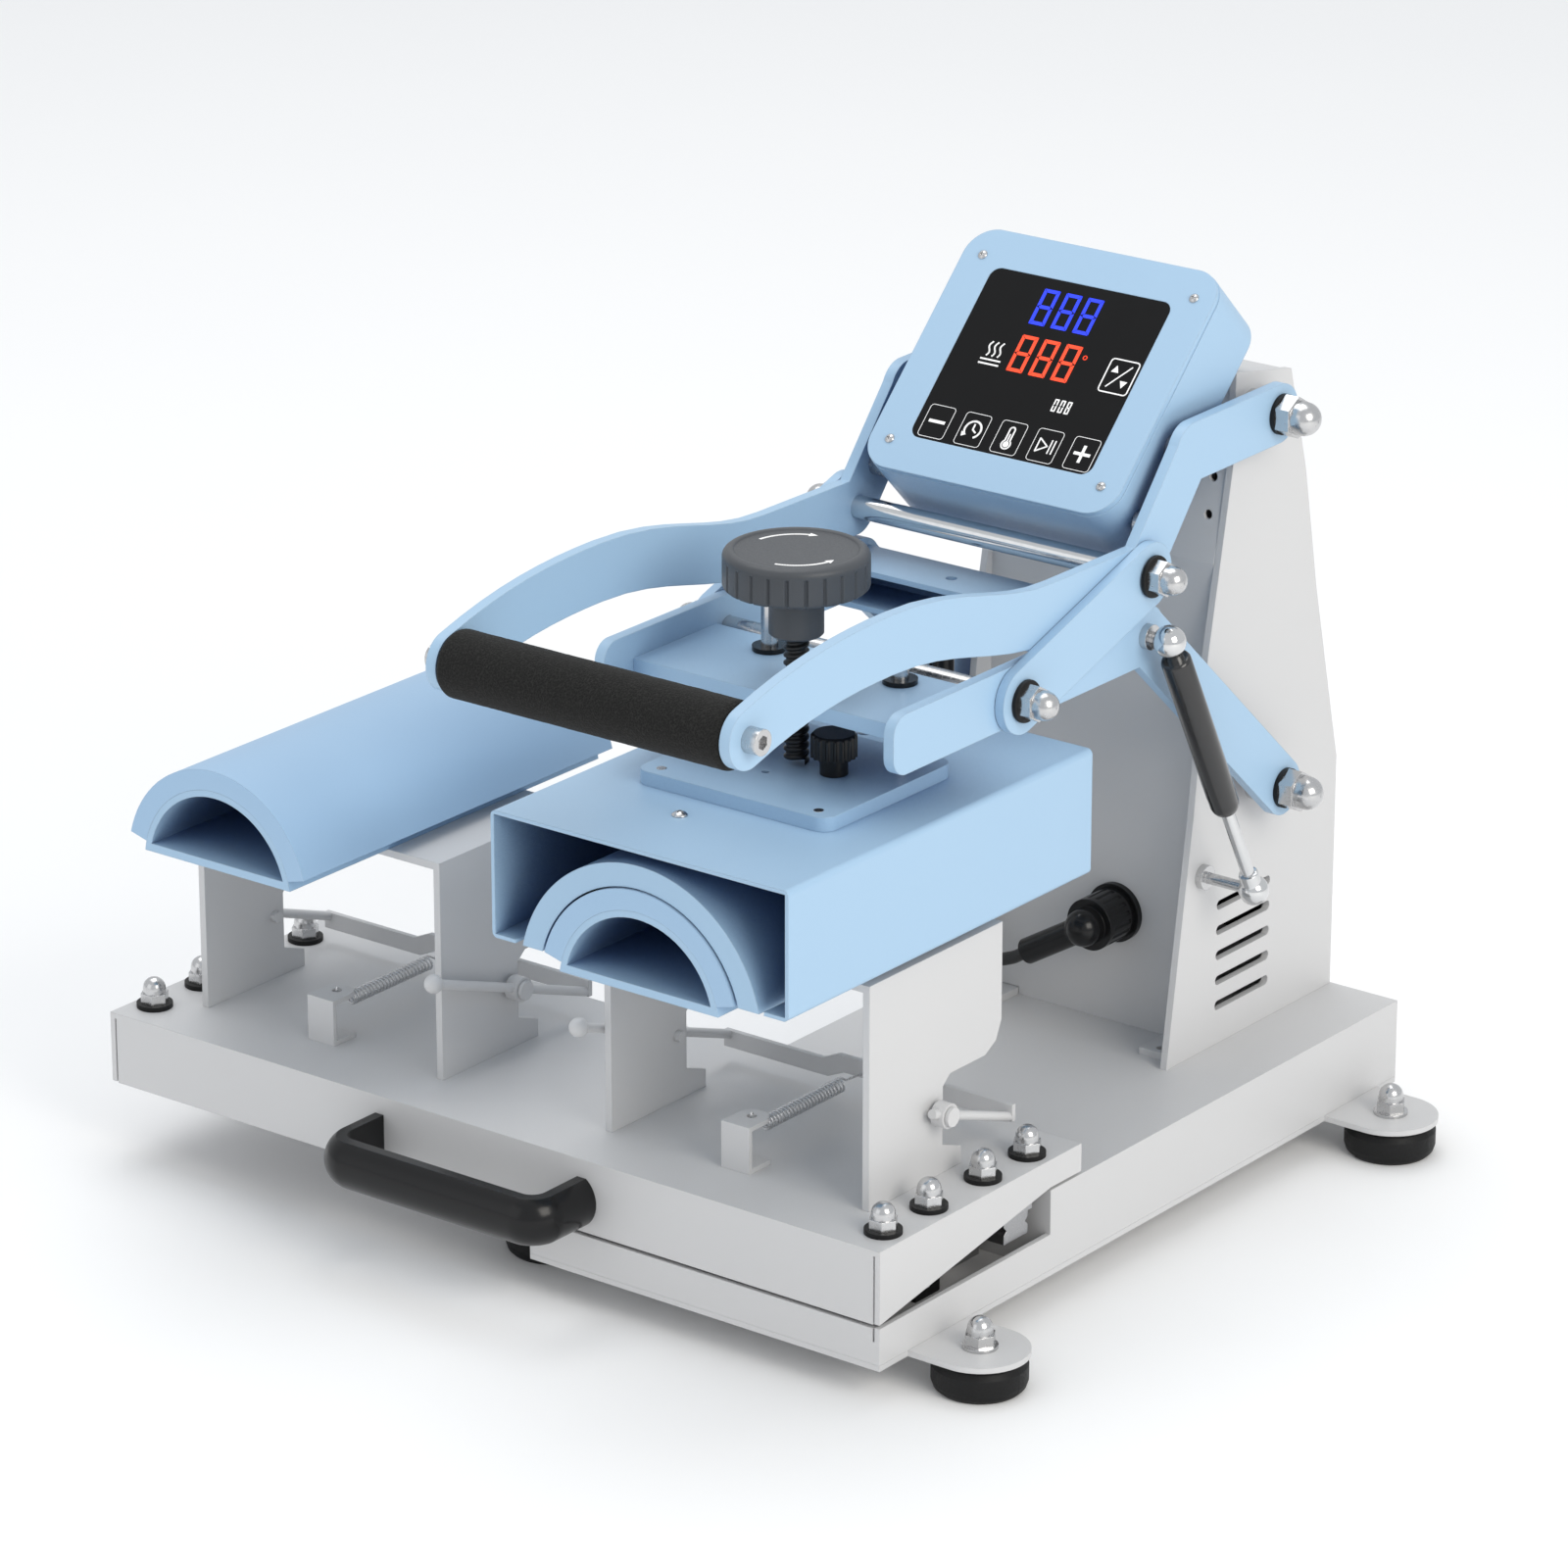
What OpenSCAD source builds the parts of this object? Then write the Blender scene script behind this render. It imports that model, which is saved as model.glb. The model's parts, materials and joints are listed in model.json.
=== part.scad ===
// Two-station shuttle heat press with half-round formers.
// Axes: X across the machine, Y from front to back, Z up from the bench.
// X = 0 is the middle of the heating head, Y = 0 the front of the base, Z = 0 the bench.

/* [Base] */
// Width of the base box
base_w = 218; // [200:1:280]
// Depth of the base box, front to back
base_d = 456; // [450:1:600]
// Distance of the base's middle to the right of the head's middle
base_shift = 6; // [0:1:10]
// Height of the base's underside above the bench
base_under = 18; // [16:1:24]
// Top of the low front walls of the base
base_low_top = 40.5; // [38:0.5:41]
// Top of the base's rear deck
base_top = 64.4; // [62:0.1:66]
// Where the low front channel ends and the deck begins
step_y = 141; // [141:1:160]
// Sheet thickness of the base and the platform
sheet_t = 3; // [2:0.5:3]
// Diameter of a rubber foot
foot_d = 48; // [30:1:48]
// Height of a rubber foot's wide part
foot_h = 16; // [10:1:16]
// Distance of a foot's middle outside the base wall
foot_out = 25; // [25:1:40]
// Distance of the front feet from the base's front
foot_front_y = 48; // [40:1:80]
// Distance of the rear feet from the base's back
foot_back_in = 43; // [30:1:60]

/* [Shuttle] */
// Distance between the two stations, which is also the shuttle's travel
station_pitch = 270; // [260:1:330]
// Distance from a station's middle to the end of the platform
platform_end = 115; // [112:1:140]
// Depth of the platform
platform_d = 167; // [160:1:200]
// Top face of the platform above the bench
platform_top = 81; // [81:0.5:90]
// Bottom of the platform's front flange
flange_bottom = 42; // [42:0.5:50]
// Width of a linear rail
rail_w = 20; // [15:1:22]
// Height of a linear rail
rail_h = 14; // [10:1:14]
// Underside of the rails above the bench
rail_bottom = 44; // [44:0.5:46]
// Middle of the front rail
rail_front_y = 38.5; // [34:0.5:40]
// Distance between the rails' middles
rail_gap = 81.5; // [75:0.5:82]
// Distance between the two bolts of a rail hanger
hanger_pitch = 37; // [30:1:38]
// Distance of the hanger bolts from a station's middle
hanger_x = 102; // [98:1:104]
// Distance of the bearing blocks from the head's middle
bearing_x = 50; // [45:1:52]
// Diameter of the platform's bolts
bolt_d = 8; // [6:0.5:8]

/* [Pull handle] */
// Distance between the handle's roots
handle_pitch = 138; // [100:1:180]
// How far the handle stands out from the platform
handle_reach = 45; // [40:1:60]
// Height of the handle's section
handle_h = 25; // [18:1:28]
// Depth of the handle's section
handle_t = 12; // [8:1:14]

/* [Formers] */
// Outer radius of a former's steel tube
former_r = 49; // [40:0.5:58.8]
// Wall of the former's tube
former_wall = 3.5; // [2:0.5:5]
// Thickness of the silicone pad on the former
pad_t = 10.8; // [6:0.1:11]
// Height of the former's arc centre above the bench
former_z = 191.5; // [191.5:0.5:194]
// Front end of the former
former_front = -40; // [-50:1:-30]
// Back end of the former
former_back = 203; // [180:1:203]
// Outside width of a former's stand
stand_w = 164; // [150:1:170]
// Plate thickness of the stand
stand_t = 4; // [3:0.5:4]

/* [Heating head] */
// Gap between the pad and the closed heater
heater_gap = 2.2; // [2:0.1:4]
// Thickness of the heater ring
heater_t = 12; // [6:0.5:14]
// Room between the heater and the shroud's top
head_room = 8.5; // [6:0.5:12]
// Width of the sheet metal shroud
shroud_w = 181; // [170:1:196]
// Bottom edge of the shroud above the bench
shroud_bottom = 206.5; // [206.5:0.5:208]
// Sheet thickness of the shroud
shroud_t = 2; // [1:0.5:2.5]
// Thickness of the plate on the shroud
top_plate_t = 7.5; // [5:0.5:10]
// Distance of the pressure screw behind the base's front
screw_y = 84; // [80:1:90]
// Diameter of the pressure screw
screw_d = 12.7; // [10:0.1:16]
// Pitch of the pressure screw's thread
screw_pitch = 4; // [3:0.5:5]
// Diameter of the pressure knob
knob_d = 72; // [50:1:90]
// Height of the pressure knob's rim
knob_h = 19.6; // [14:0.1:26]
// Top of the pressure knob above the bench
knob_top = 390.6; // [380:0.1:400]
// Diameter of a guide pin
pin_d = 8.5; // [6:0.5:12]

/* [Frame] */
// Outside width over the column's side plates
column_w = 146; // [120:1:150]
// Thickness of the column's side plates
column_t = 4; // [3:0.5:6]
// Inside distance between the lever arms, and between the head arms
arm_span = 170; // [170:1:190]
// Thickness of the lever arms and head arms
arm_t = 6; // [4:0.5:8]
// Thickness of the toggle links
link_t = 5.2; // [4:0.1:6]
// Diameter of the two main pivot shafts
shaft_d = 12; // [8:0.5:14]
// Width of the lever arms' strap
lever_w = 30; // [24:1:32]
// Diameter of the foam grip
grip_d = 34; // [28:1:40]

/* [Control box] */
// Width of the control box
box_w = 155; // [140:1:160]
// Length of the control box along its face
box_h = 143.5; // [135:0.5:150]
// Depth of the control box
box_t = 44; // [30:1:44]
// Tilt of the face from level
face_tilt = 45; // [45:1:45]

/* [Hidden] */

// Finishes
paint_blue = [0.62, 0.79, 0.93];
paint_white = [0.86, 0.87, 0.88];
black = [0.07, 0.07, 0.08];
bright = [0.85, 0.86, 0.88];
steel = [0.62, 0.63, 0.65];
red = [0.75, 0.08, 0.06];
$fn = 48;

// Running clearance of a shaft in its hole, and side gap between moving plates
run_gap = 0.05;
side_gap = 0.3;

// Pivots of the linkage as [Y, Z]: lever, head arms, link's upper and lower ends, gas spring's ends
lever_pivot = [366, 406];
head_pivot = [378, 202];
link_top = [246, 353];
link_low = [139, 318];
gas_top = [250, 319.5];
gas_low = [331, 163];

// Base
base_left = base_shift - base_w / 2;
base_right = base_shift + base_w / 2;
floor_top = base_under + sheet_t;
foot_xs = [base_left - foot_out, base_right + foot_out];
foot_ys = [foot_front_y, base_d - foot_back_in];
ear_r = 25;
stud_d = 8;

// Shuttle
platform_left = -station_pitch - platform_end;
platform_w = station_pitch + 2 * platform_end;
platform_mid = -station_pitch / 2;
platform_under = platform_top - sheet_t;
rail_top = rail_bottom + rail_h;
rail_ys = [rail_front_y, rail_front_y + rail_gap];
hanger_xs = [-station_pitch - hanger_x, hanger_x];
stations = [-station_pitch, 0];
block_l = 50;
block_w = 38;
hanger_w = 19;
stop_gap = 0.3;

// Formers and head
pad_r = former_r + pad_t;
cut_angle = 14.5;
seat_z = former_z + 7.2;
tube_floor = 4.3;
heater_z = former_z - 1.5;
heater_in = pad_r + heater_gap;
heater_out = heater_in + heater_t;
shroud_top = heater_z + heater_out + head_room;
shroud_front = former_front;
shroud_back = former_back + 3;
plate_top = shroud_top + top_plate_t;
plate_w = 118;
plate_front = 31;
plate_back = 134;
pin_x = 40;
pin_y = screw_y + 30.5;
bridge_under = 314;
bridge_top = 322;
bridge_front = 63.5;
bridge_back = link_low[0] - 9.5;
pin_top = bridge_top + 33;
hub_bottom = 347;
hub_d = 27;

// Frame
column_x = column_w / 2;
arm_in = arm_span / 2;
arm_out = arm_in + arm_t;
link_in = arm_out + side_gap;
link_out = link_in + link_t;
gas_x = link_out + 8.5;
stub_d = 8;
arm_bar_low = 304.5;
arm_bar_top = 335;
deck_line = base_top;
grip_at = [-70, 357];

// Control box, placed by its face's lower edge as [Y, Z]
box_edge = [234.4, 381.4];
box_corner = 17;
box_wall = 2.5;
screw_low_s = 16.4;
screw_high_s = 127.2;
box_screw_x = 65;
box_screw_d = 2.6;
screen_low_s = 20.4;
screen_h = 101.7;
screen_w = 111;

// Route of the heater cord from the plug's elbow up to the clip, and from there down to the head
cord_d = 7;
lower_route = [
  [-22, 311, 105], [-33, 311, 98.4], [-46, 309, 96], [-59, 307, 101], [-69, 306, 116],
  [-75, 307, 140], [-78, 309, 175], [-79, 311, 215], [-79, 312, 240], [-79, 312, 253]
];
upper_route = [
  [-79, 312, 253], [-79, 312, 266], [-78, 306, 281], [-75, 292, 291], [-71, 274, 290],
  [-66, 256, 277], [-61, 241, 257], [-57, 229, 241], [-56, 219, 236], [-56, 212, 236]
];

// ---------- helpers ----------

// Outline in Y and Z, extruded from x towards +X
module side_plate(x, t) {
  translate([x, 0, 0]) rotate([90, 0, 90]) linear_extrude(t) children();
}

// Outline in X and Z, extruded from y towards +Y
module along_y(y, len) {
  translate([0, y + len, 0]) rotate([90, 0, 0]) linear_extrude(len) children();
}

// Round bar along X at [Y, Z]
module bar_x(x, len, p, r) {
  translate([x, p[0], p[1]]) rotate([0, 90, 0]) cylinder(h = len, r = r);
}

// Round bar along Y
module bar_y(x, y, z, len, r) {
  translate([x, y, z]) rotate([-90, 0, 0]) cylinder(h = len, r = r);
}

module both_sides() {
  children();
  mirror([1, 0, 0]) children();
}

// Strap with round ends between two points; the ends are a hair wider than the strap
end_swell = 0.02;
module strap(p, q, r) {
  d = q - p;
  translate(p) circle(r + end_swell);
  translate(q) circle(r + end_swell);
  translate(p) rotate(atan2(d[1], d[0])) translate([0, -r]) square([norm(d), 2 * r]);
}

// Rectangle with round corners, from its low corner
module round_rect(w, h, r) {
  translate([r, 0]) square([w - 2 * r, h]);
  translate([0, r]) square([w, h - 2 * r]);
  for (x = [r, w - r], y = [r, h - r]) translate([x, y]) circle(r);
}

// Round bar between two points in space
module rod(a, b, r) {
  d = b - a;
  len = norm(d);
  translate(a) rotate([0, acos(d[2] / len), atan2(d[1], d[0])]) cylinder(h = len, r = r);
}

// Dome nut standing on z = 0: hexagon, washer face and dome, with a blind bore
module dome_nut(across, bore) {
  difference() {
    union() {
      cylinder(h = across * 0.42, d = across / cos(30), $fn = 6);
      translate([0, 0, across * 0.42]) cylinder(h = across * 0.18, d = across * 0.92);
      translate([0, 0, across * 0.6]) intersection() {
        sphere(d = across * 0.92);
        cylinder(h = across, d = across);
      }
    }
    translate([0, 0, -1]) cylinder(h = across * 0.62 + 1, d = bore);
  }
}

// Socket head screw: head upwards from z = 0, shank downwards
module cap_screw(d, shank) {
  difference() {
    cylinder(h = d, d = 1.6 * d);
    translate([0, 0, d * 0.45]) cylinder(h = d, d = d * 0.9, $fn = 6);
  }
  translate([0, 0, -shank]) cylinder(h = shank + 0.01, d = d);
}

// Button head screw with a cross recess
module pan_screw(d, shank) {
  difference() {
    intersection() {
      cylinder(h = d * 0.6, d = 2 * d);
      translate([0, 0, -d * 0.75]) sphere(r = d * 1.35);
    }
    for (a = [0, 90]) rotate(a) translate([-d * 0.5, -d * 0.09, d * 0.25]) cube([d, d * 0.18, d]);
  }
  translate([0, 0, -shank]) cylinder(h = shank + 0.01, d = d);
}

// Point on a cubic curve through four control points
function curve(a, b, c, d, t) =
  a * pow(1 - t, 3) + b * 3 * t * pow(1 - t, 2) + c * 3 * t * t * (1 - t) + d * pow(t, 3);
function unit(v) = v / norm(v);
function left_of(v) = [-v[1], v[0]];

// Strap of even width along a list of points
module ribbon(pts, w) {
  n = len(pts) - 1;
  dirs = [for (i = [0:n]) unit(pts[min(i + 1, n)] - pts[max(i - 1, 0)])];
  polygon(concat(
    [for (i = [0:n]) pts[i] + left_of(dirs[i]) * w / 2],
    [for (i = [n:-1:0]) pts[i] - left_of(dirs[i]) * w / 2]
  ));
}

// ---------- base ----------

module base_outline() {
  translate([base_left, 0]) square([base_w, base_d]);
}

module base_chassis() color(paint_white) {
  t = sheet_t;
  notch = 1.2;
  difference() {
    union() {
      // low front walls
      translate([base_left, 0, floor_top]) cube([base_w, t, base_low_top - 0.5 - floor_top]);
      for (x = [base_left, base_right - t])
        translate([x, 0, floor_top]) cube([t, base_d, base_low_top - floor_top]);
      // rear box
      for (x = [base_left, base_right - t])
        translate([x, step_y, floor_top]) cube([t, base_d - step_y, base_top - floor_top]);
      for (y = [step_y, base_d - t])
        translate([base_left, y, floor_top]) cube([base_w, t, base_top - floor_top]);
      translate([base_left, step_y, base_top - t]) cube([base_w, base_d - step_y, t]);
    }
    // bend relief at the front corners
    for (x = [base_left + t, base_right - t - notch])
      translate([x, -1, floor_top + 12]) cube([notch, t + 2, 20]);
    // holes for the column's bolts
    for (x = [-1, 1], y = column_bolt_ys)
      translate([x * column_bolt_x, y, base_top - t - 1]) cylinder(h = t + 2, d = 5.2);
    // louvres at the back
    for (i = [0:5])
      translate([base_shift - 60 + 20 * i, base_d - t - 1, 34]) cube([4, t + 2, 18]);
  }
}

column_bolt_x = column_x - column_t - 10;
column_bolt_ys = [318, 437];

module base_floor() color(paint_white)
  difference() {
    translate([0, 0, base_under]) linear_extrude(sheet_t) difference() {
      union() {
        base_outline();
        for (y = foot_ys) strap([foot_xs[0], y], [foot_xs[1], y], ear_r);
      }
      for (x = foot_xs, y = foot_ys) translate([x, y]) circle(d = stud_d + 0.4);
    }
    // vent slots under the rear box
    for (i = [0:7])
      translate([base_shift - 70 + 20 * i - 2, 240, base_under - 1]) cube([4, 50, sheet_t + 2]);
  }

module rubber_feet() color(black)
  for (x = foot_xs, y = foot_ys) translate([x, y, 0]) difference() {
    union() {
      rotate_extrude() polygon([
        [0, 0], [foot_d / 2 - 3, 0], [foot_d / 2 - 1, 2], [foot_d / 2, 5],
        [foot_d / 2, foot_h - 3], [foot_d / 2 - 2, foot_h], [0, foot_h]
      ]);
      cylinder(h = base_under, d = foot_d * 0.6);
    }
    translate([0, 0, 6]) cylinder(h = base_under, d = stud_d);
  }

// Stud, washer and dome nut that hold each foot
module foot_hardware() color(bright)
  for (x = foot_xs, y = foot_ys) translate([x, y, 0]) {
    translate([0, 0, 6]) cylinder(h = floor_top - 6 + 6, d = stud_d);
    translate([0, 0, floor_top]) difference() {
      cylinder(h = 1.6, d = 18);
      translate([0, 0, -1]) cylinder(h = 4, d = stud_d);
    }
    translate([0, 0, floor_top + 1.6]) dome_nut(14, stud_d);
  }

// Guide block on its pedestal: a channel that the rail hangs in, with lips in the rail's grooves
module bearing_blocks() color(steel)
  for (s = [-1, 1], y = rail_ys) translate([s * bearing_x - block_l / 2, y, 0]) difference() {
    union() {
      translate([0, -block_w / 2 + 3, floor_top]) cube([block_l, block_w - 6, 15]);
      translate([0, -block_w / 2, floor_top + 15])
        cube([block_l, block_w, rail_top - 3 - floor_top - 15]);
    }
    translate([-1, -rail_w / 2 - side_gap, rail_bottom - side_gap])
      cube([block_l + 2, rail_w + 2 * side_gap, rail_h + 5]);
  }

// Stop brackets between the rails, with rubber buffers, and their foot screws
stop_x = hanger_x - hanger_w / 2;
stop_post = 6;
buffer_l = 7;
stop_y = rail_front_y + rail_gap / 2;
hanger_flange = 7;
bolt_head = 4.2;
strut_top = platform_under - hanger_flange - bolt_head - side_gap;
stop_z = (rail_top + strut_top) / 2;
module end_stops() color(black)
  both_sides() {
    x = stop_x - stop_gap - buffer_l - stop_post;
    translate([x, stop_y - 10, floor_top]) cube([stop_post, 20, strut_top - floor_top]);
    translate([x - 14, stop_y - 10, floor_top]) cube([14.01, 20, 4]);
    bar_x(x + stop_post, buffer_l, [stop_y, stop_z], 4);
  }

// ---------- column ----------

column_line = [
  [302, deck_line], [322, 196], [332, 281], [351.5, 381], [352, 427.7], [402, 418],
  [418, 361], [431, 293], [454.8, 193], [454.8, deck_line]
];

module column_outline() {
  difference() {
    polygon(column_line);
    translate(lever_pivot) circle(d = shaft_d);
    translate(head_pivot) circle(d = shaft_d);
  }
}

foot_flange_w = 20;
module column_plate(side) {
  x = side > 0 ? column_x - column_t : -column_x;
  side_plate(x, column_t) difference() {
    column_outline();
    if (side > 0) {
      // rows of cooling slots
      for (i = [0:4]) strap([348, 86 + 14 * i], [392, 86 + 14 * i], 2.6);
      translate(gas_low) circle(d = stub_d);
    }
  }
  // foot flange turned inwards, drilled for the column's bolts
  fx = side > 0 ? column_x - column_t - foot_flange_w : -column_x + column_t;
  difference() {
    translate([fx, 312, base_top]) cube([foot_flange_w, 130, column_t]);
    for (y = column_bolt_ys)
      translate([side * column_bolt_x, y, base_top - 1]) cylinder(h = column_t + 2, d = 5.2);
  }
}

module column_side_left() color(paint_white) column_plate(-1);
module column_side_right() color(paint_white) column_plate(1);

panel_t = 2;
panel_half = column_x - column_t;
panel_line = [[341, base_top], [341, 328], [352.8, 381], [353.2, 424]];
socket_at = [13.4, 126.5];

// Sheet of even thickness behind a line of points, between the side plates
module column_sheet(pts, t) {
  side_plate(-panel_half, 2 * panel_half)
    polygon(concat(pts, [for (i = [len(pts) - 1:-1:0]) pts[i] + [t, 0]]));
}

module column_front_panel() color(paint_white)
  difference() {
    column_sheet(panel_line, panel_t);
    for (s = [-1, 1]) translate([s * (panel_half - foot_flange_w / 2), 341, base_top])
      cube([foot_flange_w + 2 * side_gap, 20, 2 * (column_t + side_gap)], center = true);
    bar_y(socket_at[0], 330, socket_at[1], 30, 10);
    for (x = [-1, 1], z = [352, 371]) bar_y(x * 61.5, 335, z, 25, 2.4);
  }

// Power entry on the back cover: its middle as [X, Z], body size, inlet recess and rocker opening
entry_at = [-6, 108];
entry_size = [72, 30];
recess_x = [-34, -6];
recess_h = 22;
rocker_x = [8, 28];
rocker_h = 25;
back_y = 453.8;

module column_back_cover() color(paint_white)
  difference() {
    column_sheet([
      [back_y - panel_t, base_top + 0.2], [back_y - panel_t, 192], [429, 292],
      [415, 360], [400.5, 412]
    ], panel_t);
    translate([entry_at[0] - entry_size[0] / 2, 440, entry_at[1] - entry_size[1] / 2])
      cube([entry_size[0], 20, entry_size[1]]);
    for (i = [0:5]) translate([-40 + 16 * i - 2, 440, 140]) cube([4, 20, 34]);
  }

module column_top_cap() color(paint_white)
  side_plate(-panel_half, 2 * panel_half)
    polygon([[353.4, 426.8], [401.4, 417.4], [401, 415.3], [353.4, 424.7]]);

// ---------- main pivots ----------

washer_t = 2.5;
washer_d = 21;
nut_across = 16;
pivots = [lever_pivot, head_pivot];

// The two shafts, and the gas spring's lower ball stud on the right side plate
module pivot_shafts() color(bright) {
  for (p = pivots)
    bar_x(-arm_out - 9, 2 * (arm_out + 9), p, shaft_d / 2);
  bar_x(column_x - column_t - 6, column_t + 6, gas_low, stub_d / 2);
  ball_stud(column_x, gas_low);
}

module pivot_spacers() color(bright)
  both_sides() for (p = pivots) difference() {
    bar_x(column_x, arm_in - side_gap - column_x, p, 10);
    bar_x(column_x - 1, arm_in - column_x + 2, p, shaft_d / 2);
  }

module washer_x(x, p, bore) {
  difference() {
    bar_x(x, washer_t, p, washer_d / 2);
    bar_x(x - 1, washer_t + 2, p, bore / 2);
  }
}

module nut_x(x, p, across, bore) {
  translate([x, p[0], p[1]]) rotate([0, 90, 0]) dome_nut(across, bore);
}

module pivot_washers() color(black)
  both_sides() for (p = pivots) washer_x(arm_out + side_gap, p, shaft_d);

module pivot_nuts() color(bright)
  both_sides() for (p = pivots) nut_x(arm_out + side_gap + washer_t, p, nut_across + 3, shaft_d);

// ---------- fittings on the column ----------

// Housing with the mains inlet, the fuse drawer and the opening for the rocker
module power_entry() color(black)
  translate([entry_at[0], back_y, entry_at[1]]) difference() {
    union() {
      translate([-entry_size[0] / 2 - 4, 0, -entry_size[1] / 2 - 4])
        cube([entry_size[0] + 8, 2.5, entry_size[1] + 8]);
      translate([-entry_size[0] / 2 + 0.2, -24, -entry_size[1] / 2 + 0.2])
        cube([entry_size[0] - 0.4, 24.01, entry_size[1] - 0.4]);
      translate([-3, 2.5, -9]) cube([7, 1.2, 18]);
    }
    translate([recess_x[0], -17, -recess_h / 2]) cube([recess_x[1] - recess_x[0], 30, recess_h]);
    translate([rocker_x[0], -16, -rocker_h / 2]) cube([rocker_x[1] - rocker_x[0], 30, rocker_h]);
    bar_x(rocker_x[0] - 4, rocker_x[1] - rocker_x[0] + 8, [-4, 0], rocker_pin_r + run_gap);
  }

// Rocker that tips about a level pin in the middle of its opening
rocker_pin_r = 1.6;
rocker_pivot = [back_y - 4, entry_at[1]];
module power_rocker() color(red) {
  bar_x(entry_at[0] + rocker_x[0] - 3, rocker_x[1] - rocker_x[0] + 6, rocker_pivot, rocker_pin_r);
  side_plate(entry_at[0] + rocker_x[0] + 2, rocker_x[1] - rocker_x[0] - 4)
    translate([back_y, entry_at[1]]) polygon([
      [-11, -5], [2, -10.6], [4.6, -10.6], [1.6, 0], [2.6, 10.6], [0, 10.6], [-11, 5]
    ]);
}

plug_y = 316;
elbow_end = [-22, 311, 105];
module cable_socket() color(black)
  difference() {
    union() {
      bar_y(socket_at[0], 337.5, socket_at[1], 3.5, 16);
      bar_y(socket_at[0], 341, socket_at[1], 18, 9.9);
    }
    bar_y(socket_at[0], 330, socket_at[1], 20, 7);
  }

// Screw collar with finger ribs, and the elbow that turns the cord to the left
module cable_plug() color(black) {
  at = [socket_at[0], 0, socket_at[1]];
  difference() {
    bar_y(at[0], plug_y, at[2], 337.5 - plug_y, 14);
    for (i = [0:17]) translate(at) rotate([0, 20 * i, 0]) bar_y(14.6, plug_y + 3, 0, 15, 1.3);
  }
  bar_y(at[0], 337.49, at[2], 10, 6.8);
  bar_y(at[0], 311, at[2], plug_y - 311 + 0.01, 10);
  translate([at[0], 311, at[2]]) sphere(10);
  rod([at[0], 311, at[2]], elbow_end, 7);
}

// ---------- shuttle ----------

module platform() color(paint_white) {
  t = sheet_t;
  slit = 1;
  difference() {
    translate([platform_left, 0, platform_under]) cube([platform_w, platform_d, t]);
    for (x = hanger_xs, y = rail_ys, s = [-1, 1])
      translate([x, y + s * hanger_pitch / 2, platform_under - 1]) cylinder(h = t + 2, d = bolt_d);
    for (c = stations) translate([c, 48, platform_under - 1]) cylinder(h = t + 2, d = 4);
  }
  // front flange, open by a fine slit at each corner
  difference() {
    translate([platform_left + t + slit, 0, flange_bottom])
      cube([platform_w - 2 * t - 2 * slit, t, platform_under - flange_bottom + 0.01]);
    for (s = [-1, 1]) bar_y(platform_mid + s * handle_pitch / 2, -1, handle_z, t + 2, 2.6);
  }
  // end flanges that rise to clear the deck
  for (x = [platform_left, platform_end - t])
    side_plate(x, t) polygon([
      [0, flange_bottom + 0.5], [step_y - 0.5, base_top + 1.6], [platform_d, base_top + 1.6],
      [platform_d, platform_under + 0.01], [0, platform_under + 0.01]
    ]);
  translate([platform_left, platform_d - t, platform_under - 10]) cube([platform_w, t, 10.01]);
}

handle_z = 58.7;
handle_bend = 20;

// Half-oval section of the handle: flat towards the platform, round outside; X is outwards
module handle_section() {
  intersection() {
    translate([0, -handle_h / 2]) square([handle_t, handle_h]);
    translate([handle_t - handle_h * 0.62, 0]) circle(handle_h * 0.62);
  }
}

module pull_handle() color(black)
  translate([platform_mid, 0, handle_z]) difference() {
    union() {
      span = handle_pitch + handle_t;
      bend = handle_bend - handle_t;
      straight = span - 2 * handle_bend;
      // front bar
      translate([-straight / 2, -handle_reach + handle_t, 0])
        rotate([90, 0, 90]) linear_extrude(straight) mirror([1, 0]) handle_section();
      both_sides() {
        // bent corner
        translate([straight / 2, -handle_reach + handle_bend, 0])
          rotate([0, 0, -90]) rotate_extrude(angle = 90)
            translate([bend, 0]) handle_section();
        // leg to the platform
        translate([span / 2 - handle_t, 0, 0]) rotate([90, 0, 0])
          linear_extrude(handle_reach - handle_bend) handle_section();
      }
    }
    for (s = [-1, 1]) bar_y(s * handle_pitch / 2, -15, 0, 20, 2.5);
  }

// Grooved rails under the platform
module rails() color(steel)
  for (y = rail_ys) difference() {
    translate([platform_left + sheet_t + 3, y - rail_w / 2, rail_bottom])
      cube([platform_w - 2 * sheet_t - 6, rail_w, rail_h]);
    for (s = [-1, 1]) translate([platform_left, y + s * rail_w / 2, rail_bottom + rail_h / 2])
      rotate([0, 90, 0]) cylinder(h = platform_w, r = 2.2, $fn = 4);
  }

// T-shaped block between each rail end and the platform, drilled for its two bolts
module rail_hangers() color(steel)
  for (x = hanger_xs, y = rail_ys) translate([x - hanger_w / 2, y, 0]) difference() {
    union() {
      translate([0, -hanger_pitch / 2 - 7, platform_under - hanger_flange])
        cube([hanger_w, hanger_pitch + 14, hanger_flange]);
      translate([0, -rail_w / 2, rail_top])
        cube([hanger_w, rail_w, platform_under - hanger_flange - rail_top + 0.01]);
      // strut between the two rails, under the bolt heads, which meets the buffer at the end of the travel
      if (y == rail_ys[0]) translate([0, 5, rail_top])
        cube([hanger_w, rail_gap - 10, strut_top - rail_top]);
    }
    for (s = [-1, 1]) translate([hanger_w / 2, s * hanger_pitch / 2, platform_under - hanger_flange - 1])
      cylinder(h = hanger_flange + 2, d = bolt_d);
  }

platform_bolt_spots = [for (x = hanger_xs, y = rail_ys, s = [-1, 1]) [x, y + s * hanger_pitch / 2]];
platform_washer_t = 2.5;

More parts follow.
